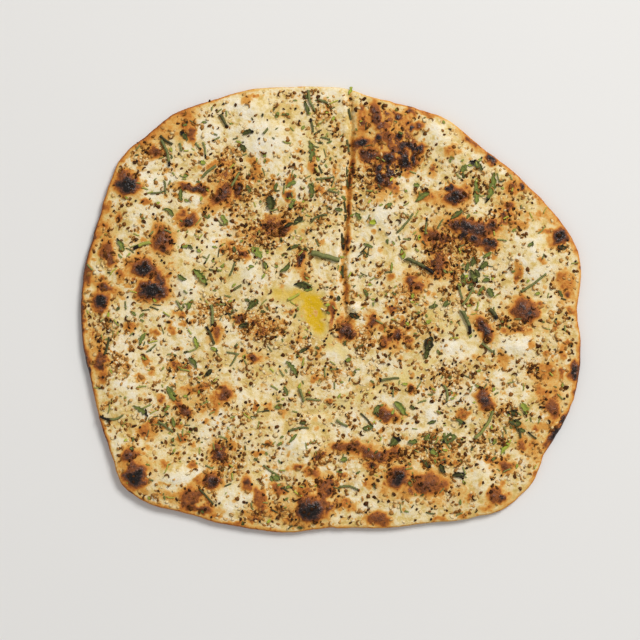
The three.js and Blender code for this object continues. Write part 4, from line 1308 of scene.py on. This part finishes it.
def crumbFinish(name):
    look = crumbLooks[name]
    finish, tree, shader = newFinish(name, look["roughness"], look["specular"])
    fine = grain(tree, objectPlace(tree), 0.7, 3)
    shade = added(tree, reading(tree, "tone"), swing(tree, fine, 0.4))
    colour = colourSteps(tree, shade, look["tones"])
    # painted shade on golden crumbs: the further a face turns from straight up, the browner it is coloured
    if "sides" in look:
        facing = tree.nodes.new("ShaderNodeSeparateXYZ")
        tree.links.new(tree.nodes.new("ShaderNodeNewGeometry").outputs["Normal"], facing.inputs[0])
        sideShade = spread(tree, facing.outputs["Z"], 0.85, 0.35)
        colour = blendColours(tree, times(tree, sideShade, 0.6), colour, look["sides"])
    tree.links.new(colour, shader.inputs["Base Color"])
    raiseBumps(tree, shader, [(fine, 0.5, 0.3)])
    return finish


# The larger burnt bits. Each row: x, y, size.
burntBits = [
    (-122, 133, 2), (-88, 149.5, 2.5), (-140, 119, 2), (-69, 146.5, 2.5), (-104, 97.5, 3), (-132, 98, 2),
    (-142, 105, 3), (-146.5, 75, 1.6), (-157, 70, 2), (-128.5, 67.5, 2), (24, 151, 3.6), (25.5, 147.5, 3.4),
    (18, 143, 3.4), (35, 147.6, 3), (20, 100, 2.6), (28, 99.6, 3.6), (21, 94.6, 3.4), (49, 96.5, 3.4),
    (64, 107.3, 2.4), (48, 89.6, 2.4), (-4.5, -27, 2.2), (150, -28, 3.5), (103, -48, 2.6), (81, -45, 4),
    (73, -68, 3), (84, -147, 1.8), (62, -146, 2), (61, -154, 2), (45.5, -135, 3), (34, -125, 2.8),
    (42, -114, 3), (7.5, -151.5, 2), (6, -143, 4), (57, -60, 3), (170, -58, 4), (54, -105, 4),
    (51, -107, 3), (145, -44, 3.4), (147.5, -42, 2.6), (143, -46.5, 2.6), (-50, -21, 2.6), (-56, -12, 2.6),
    (-44, -8, 2.4), (-60, -17, 2.8),
]

crumbShapes = [pebble(1, seed, 0.28) for seed in range(6)]
curlShapes = [curlShape(seed) for seed in range(8)]
bitShapes = [pebble(2, seed, 0.16) for seed in range(20, 25)]
toastedFinish = crumbFinish("toastedGarlic")

toastedTones = crumbTones("toasted", toastedPlaces, 96)
toastedCrumbs = strewPieces(
    "toasted_garlic_crumbs", "toasted", crumbShapes, toastedPlaces, crumbSize("toasted"), 91, toastedTones,
)
dress(toastedCrumbs, toastedFinish, "toasted_crumb")

curlTones = crumbTones("curls", curlPlaces, 97)
burntCurls = strewPieces("burnt_garlic_curls", "curls", curlShapes, curlPlaces, curlSize, 94, curlTones)
dress(burntCurls, toastedFinish, "toasted_crumb")

bitPlaces = np.array([row[:2] for row in burntBits], float)
bitTones = [strewing["bits"]["tone"]] * len(burntBits)
burntPieces = strewPieces("burnt_garlic_bits", "bits", bitShapes, bitPlaces, bitSize, 90, bitTones)
dress(burntPieces, toastedFinish, "toasted_crumb")

goldenTones = crumbTones("golden", goldenPlaces, 98)
goldenCrumbs = strewPieces(
    "golden_garlic_crumbs", "golden", crumbShapes, goldenPlaces, crumbSize("golden"), 92, goldenTones,
)
dress(goldenCrumbs, crumbFinish("goldenGarlic"), "garlic_crumb")

seedTones = crumbTones("seeds", seedPlaces, 99)
nigellaSeeds = strewPieces("nigella_seeds", "seeds", [seedShape()], seedPlaces, seedSize, 93, seedTones)
dress(nigellaSeeds, crumbFinish("nigellaSeed"), "nigella_seed")
print("crumbs and seeds laid")

# Chopped coriander. Grids are points along and across a leaf, or along and round a stem.
herbs = {
    "leafGrid": (14, 7),
    "stemGrid": (16, 10),
    "smallGrids": {"leaf": (9, 5), "stem": (10, 7)},
    "fleckGrids": {"leaf": (6, 5), "stem": (6, 6)},
    "broadLeaf": 14,             # a leaf this long or longer has more and deeper lobes
    "leafThickness": 0.32,
    "lift": 0.28,
    "curl": 0.16,
    "leafShare": 0.6,            # how many of the flecks are leaf
    "roughness": 0.55,
    "specular": 0.15,
    "leafColours": [             # from dark and wilted to bright
        (0.0, paint(38, 30, 14)), (0.25, paint(70, 70, 32)), (0.5, paint(108, 116, 54)),
        (0.75, paint(144, 152, 60)), (1.0, paint(176, 182, 56)),
    ],
    "stemColours": [
        (0.0, paint(40, 31, 16)), (0.3, paint(78, 76, 42)), (0.55, paint(122, 124, 72)),
        (0.8, paint(154, 155, 72)), (1.0, paint(180, 177, 64)),
    ],
    "scorched": paint(30, 24, 18),
}

# For each numbered leaf and stem: its tone from 0 to 1, and how far its end is scorched.
leafTones = [
    0.5, 0.4, 0.5, 0.55, 0.38, 0.4, 0.25, 0.6, 0.2, 0.2, 0.4, 0.5, 0.38, 0.3, 0.62, 0.35, 0.2, 0.3, 0.45,
    0.45, 0.3, 0.5, 0.5, 0.3, 0.55, 0.3, 0.35, 0.7, 0.8, 0.42, 0.48, 0.4, 0.52, 0.35,
]
leafScorch = [
    0.35, 0.1, 0, 0.2, 0, 0.1, 0.5, 0, 0.2, 0.4, 0.1, 0, 0, 0, 0, 0, 0.3, 0, 0, 0, 0.5, 0.1, 0.3, 0.3, 0,
    0.5, 0.3, 0.1, 0, 0, 0, 0.4, 0.2, 0.1,
]
stemTones = [
    0.75, 0.4, 0.4, 0.2, 0.45, 0.42, 0.85, 0.25, 0.4, 0.3, 0.4, 0.35, 0.5, 0.2, 0.55, 0.5, 0.35, 0.4, 0.35,
    0.35, 0.4, 0.45,
]
stemScorch = [
    0.5, 0.3, 0, 0.3, 0.1, 0.1, 0, 0.5, 0, 0.1, 0.1, 0.5, 0.1, 0.5, 0, 0.2, 0.2, 0.1, 0.2, 0.2, 0.6, 0.2,
]

# Smaller scraps. Each row: x, y, direction, length, width, tone, and leaf or stem.
smallScraps = [
    (-106.5, 95.3, 0, 6.5, 3, 0.55, "leaf"), (-93, 105, -10, 5, 4, 0.7, "leaf"),
    (-90, 66, -15, 5.5, 3, 0.4, "leaf"), (-59.5, 86, -60, 6.4, 3.4, 0.35, "leaf"),
    (-63.5, 115.5, -60, 6.6, 5, 0.2, "leaf"), (-28.5, 74, 62, 9, 4, 0.45, "leaf"),
    (-39, 139, 70, 5, 3.4, 0.5, "leaf"), (-33, 139.6, 5, 6.2, 2.4, 0.4, "leaf"),
    (-47.5, 31, -60, 6, 4, 0.4, "leaf"), (-27, 44, 22, 11, 3, 0.3, "leaf"),
    (30, 61.5, 10, 5.4, 5, 0.95, "leaf"), (51.8, 39, -80, 8, 4.6, 0.7, "leaf"),
    (25, 38.7, -56, 5.6, 2.6, 0.25, "leaf"), (27, 45, -22, 7.4, 2.2, 0.4, "leaf"),
    (25.6, 10.4, -66, 6.4, 3, 0.4, "leaf"), (44, 29.5, 85, 7, 2.2, 0.65, "leaf"),
    (62, 88.6, 0, 4.4, 4, 0.5, "leaf"), (95.6, 100, 55, 8.4, 4, 0.45, "leaf"),
    (107.5, 106.5, 50, 7, 2.4, 0.6, "leaf"), (90.6, 67, 36, 11.4, 5, 0.3, "leaf"),
    (41, 73.6, 30, 7.4, 4, 0.45, "leaf"), (113, 38, 30, 8, 3, 0.5, "leaf"),
    (96, 20.6, -80, 9, 3.8, 0.45, "leaf"), (115.5, 11, -60, 7.4, 5, 0.35, "leaf"),
    (32.8, -74, 66, 8, 4.4, 0.4, "leaf"), (27, -87, 20, 8, 5, 0.35, "leaf"),
    (59, -97, 0, 7, 5, 0.4, "leaf"), (74, -104.6, -48, 9.4, 4.6, 0.55, "leaf"),
    (69.6, -93.6, 50, 6, 3.6, 0.45, "leaf"), (131, -76, -10, 9, 5, 0.1, "leaf"),
    (133, -83, -15, 9.4, 6, 0.25, "leaf"), (138, -88.6, -20, 6, 3.6, 0.3, "leaf"),
    (-38, -71.4, 30, 6, 4.4, 0.5, "leaf"), (-32.6, -60.4, -70, 7, 3.8, 0.35, "leaf"),
    (-20.4, -83, 10, 5, 4.6, 0.25, "leaf"), (-27.6, -94.8, 48, 9.4, 2.8, 0.45, "leaf"),
    (-40, -122.6, -30, 7.4, 5, 0.45, "leaf"), (9, -110, 20, 5.4, 4.4, 0.45, "leaf"),
    (103, 33, 70, 8, 5, 0.3, "leaf"), (110, 30, 40, 9, 5, 0.35, "leaf"), (106, 25, -60, 7, 4, 0.28, "leaf"),
    (98.6, 29, 80, 8, 4, 0.35, "leaf"), (112, 20, 20, 6, 4, 0.4, "leaf"), (101, 15, 65, 7, 4, 0.3, "leaf"),
    (-24, 63, 45, 9, 5, 0.1, "leaf"), (-31, 59.6, 30, 8, 3.6, 0.04, "leaf"),
    (-114, -83, -75, 7.6, 3, 0.5, "leaf"), (-97.6, -25, -75, 9, 4, 0.7, "leaf"),
    (-84.4, -30, -30, 6, 3, 0.65, "leaf"), (-16.6, 13, 8, 6.4, 2.6, 0.55, "leaf"),
    (144, 45.6, 20, 4.4, 3.6, 0.45, "leaf"), (108.4, 12, 70, 6, 3, 0.5, "leaf"),
    (70, -10.6, 30, 6, 3, 0.75, "leaf"), (74, 1, 10, 7, 3.6, 0.3, "leaf"),
    (83.6, 3, 30, 7, 5, 0.35, "leaf"), (-137, -5.6, 40, 5, 2.4, 0.5, "leaf"),
    (-143, -4, -40, 5.6, 2.2, 0.45, "leaf"), (-106, 44, 15, 6, 2.6, 0.6, "leaf"),
    (-119, 71, 0, 5, 2.4, 0.5, "leaf"), (-136.6, 66, -60, 5, 2, 0.45, "leaf"),
    (-91.6, 134, 0, 4.4, 2, 0.5, "leaf"), (12, -38, 30, 5.4, 4, 0.55, "leaf"),
    (-20, -31, 20, 8, 3, 0.2, "leaf"), (-89, -47.6, 40, 8, 4, 0.05, "leaf"),
    (93, -82, -25, 10, 3, 0.35, "leaf"), (73, -83, 15, 7, 3, 0.3, "leaf"),
    (92, -121, 5, 9, 5, 0.02, "leaf"), (80.4, -116.5, -60, 8, 5, 0.12, "leaf"),
    (69, -113, -50, 8, 4, 0.2, "leaf"), (118.4, -97, 60, 5, 3, 0.55, "leaf"),
    (167, 43.5, -10, 7, 5, 0.05, "leaf"), (166, 10, -60, 6, 2.6, 0.3, "leaf"),
    (14, 157, 70, 6.4, 3, 0.8, "leaf"), (70.6, -26, 70, 11, 8, 0.05, "leaf"),
    (69.4, -33.4, 80, 8, 5, 0.2, "leaf"), (5.6, 71, -10, 6, 3, 0.35, "leaf"),
    (-40, 87, 80, 7, 3, 0.35, "leaf"), (-63, -13, 10, 8, 5, 0.12, "leaf"),
    (16.6, -6, -20, 8, 4, 0.04, "leaf"), (-119.8, 87, -86, 10, 1.5, 0.45, "stem"),
    (-125, 83, 10, 10, 1.4, 0.35, "stem"), (-119.4, 120.6, -35, 11, 2, 0.1, "stem"),
    (-6, 149.4, -22, 8, 1.8, 0.4, "stem"), (-4.4, 93.4, 8, 13, 1.4, 0.4, "stem"),
    (1, 84, -18, 7, 1.5, 0.4, "stem"), (93.6, 11, -72, 10, 1.6, 0.4, "stem"),
    (113, -29, -38, 10, 1.6, 0.45, "stem"), (8, -84, -28, 9.4, 1.8, 0.45, "stem"),
    (-43, -118.6, -35, 15, 1.4, 0.4, "stem"), (-129.6, -29.6, 38, 8.6, 1.3, 0.45, "stem"),
    (-161.6, -28, 76, 12.6, 1.9, 0.15, "stem"), (-87, -20, -66, 14.4, 1.9, 0.2, "stem"),
    (-119.6, -86, -35, 13.4, 1.8, 0.4, "stem"), (-89.6, 35, 62, 8, 1.3, 0.5, "stem"),
    (-71, 28, 68, 11, 1.4, 0.4, "stem"), (-84.4, 26.8, -12, 7.6, 1.2, 0.25, "stem"),
    (-67.4, 14.6, 30, 6, 1.6, 0.4, "stem"), (-110, 1.6, -60, 8, 1.4, 0.5, "stem"),
    (-90, -136.6, -48, 15, 1.4, 0.2, "stem"), (145.4, -92.6, -38, 8, 1.4, 0.1, "stem"),
    (-69, 93, 60, 12, 2, 0.5, "stem"), (11.6, 94, -86, 17, 2.4, 0.2, "leaf"),
    (8.6, 48, -84, 13, 2.6, 0.06, "leaf"), (26, -81, -48, 13, 1.3, 0.08, "stem"),
    (-91, 113.6, -82, 12, 1.4, 0.55, "stem"), (-83, 122, 30, 6, 1.2, 0.5, "stem"),
    (-47, 127.4, 50, 5, 1.8, 0.4, "stem"), (-13.6, 132, -80, 10, 1.6, 0.3, "stem"),
    (-4, 122.6, -15, 7, 1.4, 0.4, "stem"), (79, 60.6, 60, 8, 1.3, 0.45, "stem"),
    (69, 59, 84, 12, 1.5, 0.45, "stem"), (-13, -66.6, -5, 10, 1.4, 0.45, "stem"),
    (2.4, -44.6, 5, 6, 1.2, 0.5, "stem"), (35, -10.5, -30, 6, 1.2, 0.5, "stem"),
    (-70, -38, 60, 10, 1.3, 0.4, "stem"), (-71, -33, -10, 9, 1.2, 0.4, "stem"),
    (136.6, -91, -80, 7, 1.6, 0.2, "stem"), (-108.6, 116, -75, 6, 1.6, 0.45, "stem"),
    (-96, 116.6, -50, 6, 1.4, 0.5, "stem"), (12.4, 117, -82, 9, 1.5, 0.3, "stem"),
    (10.6, 70, -86, 14, 1.4, 0.2, "stem"), (13.4, 140, -80, 8, 1.6, 0.25, "stem"),
    (8.4, 26, -88, 9, 1.5, 0.15, "stem"),
]


def scrapLine(node):
    # middle, direction, length, width and bow of a CAD scrap, read from its shape
    points = np.array([vertex.co for vertex in node.data.vertices])[:, :2] / mm
    middle = (points.max(0) + points.min(0)) / 2
    offsets = points - points.mean(0)
    _, vectors = np.linalg.eigh(offsets.T @ offsets)
    direction = vectors[:, 1] if vectors[0, 1] >= 0 else -vectors[:, 1]
    along = (points - middle) @ direction
    across = (points - middle) @ np.array([-direction[1], direction[0]])
    bow = np.polyfit(along, across, 2)
    width = 2 * np.max(np.abs(across - np.polyval(bow, along)))
    return middle, direction, along.max() - along.min(), width, bow


def looseLine(x, y, angle, length, width, bend):
    # the same five things for a scrap that the CAD leaves out
    middle = np.array([x + bakersMark[0], y + bakersMark[1]])
    direction = np.array([math.cos(angle), math.sin(angle)])
    return middle, direction, length, width, (bend, 0.0, 0.0)


def leafMesh(line, seed, rows, columns):
    # a lobed scrap that lies on the crust, its sides curling up, as points, faces and a vein reading
    middle, direction, length, width, bow = line
    random = np.random.default_rng(seed)
    sideways = np.array([-direction[1], direction[0]])
    broad = length >= herbs["broadLeaf"]
    lobes = random.uniform(4.0, 5.5) if broad else random.uniform(1.6, 3.0)
    depth = 0.6 if broad else random.uniform(0.2, 0.5)
    phase = random.uniform(0, 2 * math.pi, 2)
    ragged = random.uniform(0.75, 1.15, (rows, 2))
    slant = random.uniform(-0.25, 0.25)
    curl = herbs["curl"] * random.uniform(0.4, 1.6)
    points, veins = [], []
    share = np.linspace(0, 1, rows)
    bluntness = random.uniform(0.35, 0.8)
    envelope = np.sin(math.pi * np.clip(share, 0.03, 0.97) ** random.uniform(0.7, 1.3)) ** bluntness
    for row in range(rows):
        forward = (share[row] - 0.5) * length
        for column in range(columns):
            side = 2 * column / (columns - 1) - 1
            half = 0 if side < 0 else 1
            notch = abs(math.sin(math.pi * lobes * share[row] + phase[half])) ** 3
            reach = width / 2 * envelope[row] * (1 - depth * notch) * ragged[row, half]
            ahead = forward * 0.96 + (abs(side) * 0.3 + side * slant) * reach
            place = middle + direction * ahead + sideways * (np.polyval(bow, forward) + side * reach)
            points.append((place[0], place[1], side))
            rib = abs(abs(side) * 3 - (share[row] * lobes * 2) % 1.0)
            veins.append(max(1 - abs(side) * 4, 0.55 - rib * 2, 0.0))
    points = np.array(points)
    ground = np.array([crustHeight(x, y) for x, y in points[:, :2]])
    fit = np.column_stack([points[:, :2], np.ones(len(points))])
    plane = fit @ np.linalg.lstsq(fit, ground, rcond=None)[0]
    raised = plane + curl * width * points[:, 2] ** 2
    raised = raised + 0.22 * layeredNoise(points[:, 0] + seed, points[:, 1], 3.0, seed)
    level = np.maximum(ground, raised) + herbs["lift"]
    tops = np.column_stack([points[:, :2], level + herbs["leafThickness"] / 2])
    bottoms = np.column_stack([points[:, :2], level - herbs["leafThickness"] / 2])
    return np.concatenate([tops, bottoms]), slabFaces(rows, columns), np.array(veins * 2)


def slabFaces(rows, columns):
    # faces of a thin slab: its top and bottom grids, and the strip round their rim
    size = rows * columns
    faces = []
    for row in range(rows - 1):
        for column in range(columns - 1):
            a = row * columns + column
            top = [a, a + columns, a + columns + 1, a + 1]
            faces.append(top)
            faces.append([i + size for i in reversed(top)])
    rim = [row * columns for row in range(rows)] + [size - columns + c for c in range(1, columns)]
    rim += [row * columns + columns - 1 for row in range(rows - 2, -1, -1)] + list(range(columns - 2, 0, -1))
    for first, second in zip(rim, rim[1:] + rim[:1]):
        faces.append([second, first, first + size, second + size])
    return faces


def stemMesh(line, seed, rings, sides):
    # a ribbed stalk, cut on the slant, lying along the crust
    middle, direction, length, width, bow = line
    random = np.random.default_rng(seed)
    sideways = np.array([-direction[1], direction[0]])
    ribs = random.integers(4, 6)
    slant = random.uniform(-0.6, 0.6, 2)
    taper = random.uniform(0.75, 1.0)
    forward = (np.linspace(0, 1, rings) - 0.5) * length
    centre = middle + direction * forward[:, None] + sideways * np.polyval(bow, forward)[:, None]
    centre = centre + sideways * (0.06 * width * np.sin(forward * 0.7 + seed))[:, None]
    ground = np.array([max(crustHeight(x + dx, y) for dx in (-0.4, 0.4)) for x, y in centre])
    ground = np.maximum(ground, np.convolve(np.pad(ground, 2, mode="edge"), np.ones(5) / 5, mode="valid"))
    points, veins = [], []
    for ring in range(rings):
        radius = width / 2 * (1 - (1 - taper) * ring / (rings - 1))
        end = slant[0] if ring == 0 else slant[1] if ring == rings - 1 else 0.0
        for side in range(sides):
            angle = 2 * math.pi * side / sides
            ribbed = 1 + 0.07 * math.cos(ribs * angle)
            out = radius * ribbed * math.cos(angle)
            up = radius * ribbed * math.sin(angle) * 0.82
            place = centre[ring] + sideways * out + direction * end * out
            points.append((place[0], place[1], ground[ring] + radius * 0.86 + up))
            veins.append(0.5 + 0.5 * math.cos(ribs * angle))
    faces = []
    for ring in range(rings - 1):
        for side in range(sides):
            a, b = ring * sides + side, ring * sides + (side + 1) % sides
            faces.append([a, b, b + sides, a + sides])
    faces.append(list(range(sides - 1, -1, -1)))
    faces.append([(rings - 1) * sides + side for side in range(sides)])
    return np.array(points), faces, np.array(veins)


scrapMeshes = {"leaf": leafMesh, "stem": stemMesh}


def herbPiece(name, parts):
    # one mesh from one or more scraps; each part is points, faces, veins, tone and scorch along its length
    points, faces, veins, tones, scorches = [], [], [], [], []
    total = 0
    for partPoints, partFaces, partVeins, tone, scorch in parts:
        points.append(partPoints)
        faces += [[i + total for i in face] for face in partFaces]
        veins.append(partVeins)
        tones.append(np.full(len(partPoints), tone))
        scorches.append(scorch)
        total += len(partPoints)
    readings = {"vein": veins, "tone": tones, "scorch": scorches}
    joined = {label: np.concatenate(values) for label, values in readings.items()}
    return addPiece(name, np.concatenate(points), faces, joined)


def burntEnd(points, direction, reach, seed):
    # 1 at the scorched end of a scrap, falling to 0 over its reach
    along = points[:, :2] @ direction
    share = (along - along.min()) / max(np.ptp(along), 0.01)
    if seed % 2:
        share = 1 - share
    return easeBetween(share, 1.0 - reach, 1.15 - reach * 0.5) if reach > 0 else np.zeros(len(points))


def corianderFinish(name, colours):
    finish, tree, shader = newFinish(name, herbs["roughness"], herbs["specular"])
    place = objectPlace(tree)
    mottled = grain(tree, place, 2.4, 4)
    fine = grain(tree, place, 0.6, 3)
    veined = times(tree, reading(tree, "vein"), 0.16)
    shade = added(tree, reading(tree, "tone"), swing(tree, mottled, 0.5), veined)
    scorched = spread(tree, added(tree, reading(tree, "scorch"), times(tree, fine, 0.3)), 0.35, 0.7)
    colour = blendColours(tree, scorched, colourSteps(tree, shade, colours), herbs["scorched"])
    tree.links.new(colour, shader.inputs["Base Color"])
    raiseBumps(tree, shader, [(mottled, 0.3, 0.5), (fine, 0.3, 0.25)])
    return finish


leafFinish = corianderFinish("corianderLeaf", herbs["leafColours"])
stemFinish = corianderFinish("corianderStem", herbs["stemColours"])


def layCadScraps(kind, grid, finish, tones, scorches):
    # the larger scraps, each shaped over its own CAD node
    for i, (tone, scorch) in enumerate(zip(tones, scorches), 1):
        node = f"coriander_{kind}_{i:02d}"
        line = scrapLine(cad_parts[node])
        points, faces, veins = scrapMeshes[kind](line, i, *grid)
        burnt = burntEnd(points, line[1], scorch, i)
        piece = herbPiece(f"chopped_{kind}_{i:02d}", [(points, faces, veins, tone, burnt)])
        dress(piece, finish, f"coriander_{kind}", node)


def laySmallScraps():
    parts = {"leaf": [], "stem": []}
    random = np.random.default_rng(95)
    for i, (x, y, degrees, length, width, tone, kind) in enumerate(smallScraps):
        line = looseLine(x, y, math.radians(degrees), length, width, random.uniform(-0.02, 0.02))
        points, faces, veins = scrapMeshes[kind](line, 100 + i, *herbs["smallGrids"][kind])
        burnt = burntEnd(points, line[1], random.choice([0, 0, 0.2, 0.4]), i)
        parts[kind].append((points, faces, veins, tone, burnt))
    for i, (x, y) in enumerate(fleckPlaces):
        angle = random.uniform(0, 2 * math.pi)
        bend = random.uniform(-0.05, 0.05)
        tone = random.beta(2.6, 2.4)
        if random.uniform() < herbs["leafShare"]:
            kind = "leaf"
            length = random.uniform(1.4, 4.4)
            width = length * random.uniform(0.35, 0.75)
        else:
            kind = "stem"
            length = random.uniform(2.5, 7.0)
            width = random.uniform(0.7, 1.3)
        line = looseLine(x, y, angle, length, width, bend)
        points, faces, veins = scrapMeshes[kind](line, 300 + i, *herbs["fleckGrids"][kind])
        parts[kind].append((points, faces, veins, tone, np.zeros(len(points))))
    dress(herbPiece("coriander_leaf_flecks", parts["leaf"]), leafFinish, "coriander_leaf")
    dress(herbPiece("coriander_stem_flecks", parts["stem"]), stemFinish, "coriander_stem")


layCadScraps("leaf", herbs["leafGrid"], leafFinish, leafTones, leafScorch)
layCadScraps("stem", herbs["stemGrid"], stemFinish, stemTones, stemScorch)
laySmallScraps()
print("coriander laid")


def makeFloor():
    half = studio["floorSize"] / 2
    level = studio["floorLevel"]
    corners = [(-half, -half, level), (half, -half, level), (half, half, level), (-half, half, level)]
    floor = addPiece("paleFloor", np.array(corners), [(0, 1, 2, 3)], {})
    finish, tree, shader = newFinish("paleFloor", studio["floorRoughness"], studio["floorSpecular"])
    soft = grain(tree, objectPlace(tree), studio["floorPatch"], 2)
    shade = blendColours(tree, times(tree, soft, 0.2), studio["floorColour"], studio["floorShade"])
    tree.links.new(shade, shader.inputs["Base Color"])
    floor.data.materials.append(finish)


makeFloor()
